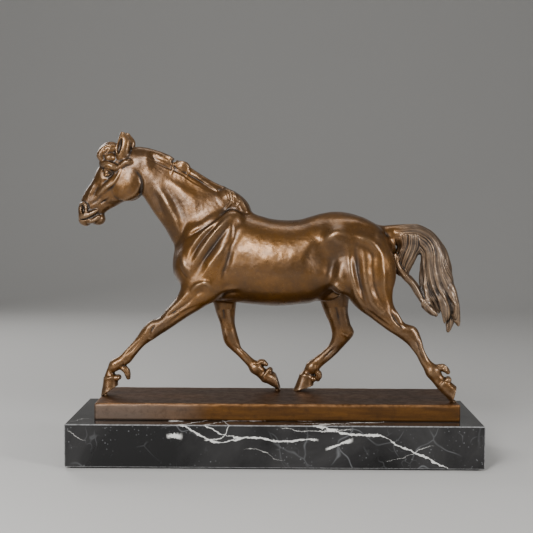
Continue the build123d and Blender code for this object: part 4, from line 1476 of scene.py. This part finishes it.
def plinth_plate():
    """The cast plate, built of rings, with an edge that wanders where it is worn."""
    low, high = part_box("bronze_plinth")
    seed = 4
    long_count = int((high[0] - low[0]) / PLATE_GRAIN)
    short_count = int((high[1] - low[1]) / PLATE_GRAIN)
    middle = (np.array(low[:2]) + np.array(high[:2])) / 2
    rings, wears, sides = [], [], []
    for inset, z, wear, side in plate_profile(low.z, high.z):
        ring = box_ring(low, high, inset, long_count, short_count)
        x, y = ring[:, 0] / MM, ring[:, 1] / MM
        wave = noise(x * 0.09, y * 0.09, seed) + 0.5 * noise(x * 0.31, y * 0.31, seed + 1)
        height = z - PLATE_WAVER * wear * (0.5 + 0.5 * np.clip(wave, -1, 1))
        bite = np.clip(noise(x * 0.12, y * 0.12, seed + 2) + 0.4, 0, 1)
        ring = ring + np.sign(middle - ring) * (PLATE_WAVER * 0.7 * bite * wear)[:, None]
        rings.append(np.column_stack([ring, height]))
        wears.append(np.full(len(ring), wear))
        sides.append(np.full(len(ring), side))
    around = len(rings[0])
    index = np.arange(around)
    faces = []
    for n in range(len(rings) - 1):
        a, b = n * around + index, n * around + (index + 1) % around
        faces += np.stack([a, b, b + around, a + around], 1).tolist()
    faces.append(list(range(around))[::-1])
    faces.append([(len(rings) - 1) * around + i for i in range(around)])
    mesh = bpy.data.meshes.new("plinth_plate")
    mesh.from_pydata(np.concatenate(rings).tolist(), [], faces)
    for layer, values in (("wear", wears), ("side", sides)):
        data = mesh.attributes.new(layer, "FLOAT", "POINT").data
        data.foreach_set("value", np.concatenate(values).astype(np.float32))
    mesh.shade_smooth()
    return linked("plinth_plate", mesh)


def marble_block():
    """The CAD block with its bores, and its narrow sloping faces marked in the wear layer for a painted
    highlight.
    """
    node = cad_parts["marble_base"]
    mesh = node.data.copy()
    mesh.name = "marble_block"
    mesh.transform(node.matrix_world)
    mesh.materials.clear()
    # Where the marble's highlight is painted: 0.85 on the sloping faces outside the bores.
    wear = mesh.attributes.new("wear", "FLOAT", "FACE").data
    for face, item in zip(mesh.polygons, wear):
        slopes = max(abs(a) for a in face.normal) < 0.95
        in_bore = abs(face.center.x) < 130 * MM and abs(face.center.y) < 20 * MM
        item.value = 0.85 if slopes and not in_bore else 0.0
    return linked("marble_block", mesh)


# ---- pieces -----------------------------------------------------------------------------
def linked(name, data):
    """A new object in the scene."""
    obj = bpy.data.objects.new(name, data)
    bpy.context.collection.objects.link(obj)
    return obj


def finish_piece(obj, material, slot_name, *nodes):
    """Gives a piece its material, puts it under the root body, and hides the CAD nodes that it stands
    for.
    """
    obj.data.materials.append(material)
    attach(obj, "root")
    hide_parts(*nodes)


def repaint(node_name, material):
    """A CAD node that stays in sight, in a better material."""
    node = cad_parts[node_name]
    for index in range(len(node.material_slots)):
        node.material_slots[index].material = material


LEG_STEP = 0.42
LEG_BOXES = {
    "near_foreleg": ((-157, -33, 49), (-74, -10, 136)),
    "off_foreleg": ((-66, 8, 49), (10, 33, 136)),
    "near_hindleg": ((74, -34, 49), (157, -8, 140)),
    "off_hindleg": ((6, 8, 49), (72, 34, 140)),
}


def build_horse():
    """All eight castings, each from the same forms, so that they meet at their seams."""
    patina = bronze()
    body = body_forms() + mane_forms() + head_forms()
    dock = [(TAIL_SWEEPS[0], 4.5, False)]
    leg_seams = [(name, False) for name in LIMBS]
    castings = (
        ("torso", body + dock, (-97, -38, 114), (107, 38, 236), 0.8,
         [("neck", False), ("dock", False)] + leg_seams, (0, -31, 165), None),
        ("neck", body, (-134, -26, 152), (-22, 26, 272), 0.55,
         [("neck", True), ("poll", False)], (-90, -11, 225), None),
        ("head", body, (-180, -17, 189), (-111, 17, 281), 0.38,
         [("poll", True)], (-165, -5, 220), None),
        ("tail", tail_forms(), (84, -15, 100), (158, 15, 203), 0.42,
         [("dock", True)], (148, 0, 150), comb_tail),
    )
    for name, forms, low, high, step, seams, spot, extra in castings:
        obj = casting(name + "_casting", forms, low, high, step, seams, spot, extra)
        finish_piece(obj, patina, "bronze", name)
    for name, (low, high) in LEG_BOXES.items():
        (toe, _), side = HOOVES[name][1], LIMBS[name][1]
        spot = (toe[0], side * 22, 56)
        forms = body + foot_forms(name)
        comb = functools.partial(comb_tuft, name=name)
        obj = casting(name + "_casting", forms, low, high, LEG_STEP, [(name, True)], spot, comb)
        finish_piece(obj, patina, "bronze", name)


# ---- camera, floor and light ------------------------------------------------------------
CAMERA_AT = (0.003, -0.9279, 0.2111)  # metres
CAMERA_YAW, CAMERA_PITCH, CAMERA_ROLL = -0.648, -3.054, 0.225  # degrees
CAMERA_LENS = 73.41  # millimetres


def place_camera():
    """The camera that looks at the horse's near side."""
    yaw, pitch, roll = (math.radians(a) for a in (CAMERA_YAW, CAMERA_PITCH, CAMERA_ROLL))
    level = math.cos(pitch)
    ahead = np.array([math.sin(yaw) * level, math.cos(yaw) * level, math.sin(pitch)])
    right = np.cross(ahead, (0, 0, 1))
    right /= np.linalg.norm(right)
    up = np.cross(right, ahead)
    rolled_right = right * math.cos(roll) + up * math.sin(roll)
    rolled_up = up * math.cos(roll) - right * math.sin(roll)
    data = bpy.data.cameras.new("camera")
    data.lens = CAMERA_LENS
    data.sensor_width = 36
    data.clip_start = 0.01
    camera = linked("camera", data)
    turn = np.column_stack([rolled_right, rolled_up, -ahead])
    rows = [[*turn[n], CAMERA_AT[n]] for n in range(3)] + [[0, 0, 0, 1]]
    camera.matrix_world = Matrix(rows)
    bpy.context.scene.camera = camera


# Each light: its place, what it is aimed at, its width and height, metres, and its power, watts.
HORSE_MIDDLE, HORSE_NECK = (0, 0, 0.15), (-0.06, 0, 0.19)
LIGHTS = {
    "key": ((-0.36, -1.0, 0.72), HORSE_MIDDLE, (0.26, 0.46), 11),
    "fill": ((-0.8, -1.0, 0.42), HORSE_NECK, (0.4, 0.4), 5),
    "side": ((0.85, -0.75, 0.45), HORSE_MIDDLE, (0.25, 0.4), 7),
    "top": ((0.0, 0.15, 1.3), HORSE_MIDDLE, (0.7, 0.3), 2.4),
    "back": ((-0.7, 0.9, 0.7), HORSE_MIDDLE, (0.5, 0.5), 4),
}


def soft_box(name):
    """One of the lights, as a glowing rectangle."""
    at, aim, size, power = LIGHTS[name]
    data = bpy.data.lights.new(name, "AREA")
    data.shape = "RECTANGLE"
    data.size, data.size_y = size
    data.energy = power
    light = linked(name, data)
    light.location = at
    light.rotation_euler = (Vector(aim) - Vector(at)).to_track_quat("-Z", "Y").to_euler()


# The floor, metres: half its width, where it starts to curve up, the curve's radius, and its top.
FLOOR_SIDE, FLOOR_BEND, FLOOR_RADIUS, FLOOR_TOP = 6.0, 1.3, 1.2, 3.5
FLOOR_STEPS = 24


def build_floor():
    """A pale floor that curves up behind the object."""
    profile = [(-FLOOR_SIDE, 0.0), (FLOOR_BEND, 0.0)]
    for n in range(1, FLOOR_STEPS + 1):
        turn = math.pi / 2 * n / FLOOR_STEPS
        back = FLOOR_BEND + FLOOR_RADIUS * math.sin(turn)
        profile.append((back, FLOOR_RADIUS * (1 - math.cos(turn))))
    profile.append((FLOOR_BEND + FLOOR_RADIUS, FLOOR_TOP))
    verts = [(x, y, z) for y, z in profile for x in (-FLOOR_SIDE, FLOOR_SIDE)]
    faces = [(2 * n, 2 * n + 1, 2 * n + 3, 2 * n + 2) for n in range(len(profile) - 1)]
    mesh = bpy.data.meshes.new("floor")
    mesh.from_pydata(verts, [], faces)
    mesh.shade_smooth()
    n = Nodes("pale floor")
    n.set(Base_Color=(0.58, 0.57, 0.55, 1), Roughness=0.6)
    mesh.materials.append(n.material)
    linked("floor", mesh)


def build_sky():
    """An even grey light from all round."""
    world = bpy.data.worlds.new("studio")
    world.use_nodes = True
    sky = world.node_tree.nodes["Background"]
    sky.inputs["Color"].default_value = (0.8, 0.8, 0.8, 1)
    sky.inputs["Strength"].default_value = 0.26
    bpy.context.scene.world = world


finish_piece(plinth_plate(), plinth_bronze(), "plinth_bronze", "bronze_plinth")
finish_piece(marble_block(), marble(), "marble", "marble_base")
build_horse()
repaint("felt_sheet", felt())
STEEL = metal("zinc-plated steel", (0.2, 0.2, 0.21), (0.52, 0.52, 0.53), 0.24)
for fastener in ("plinth_studs", "stud_washers", "stud_nuts"):
    repaint(fastener, STEEL)
repaint("hoof_dowels", metal("brazed brass", (0.2, 0.12, 0.05), (0.45, 0.29, 0.12), 0.35))
place_camera()
build_floor()
build_sky()
for light_name in LIGHTS:
    soft_box(light_name)
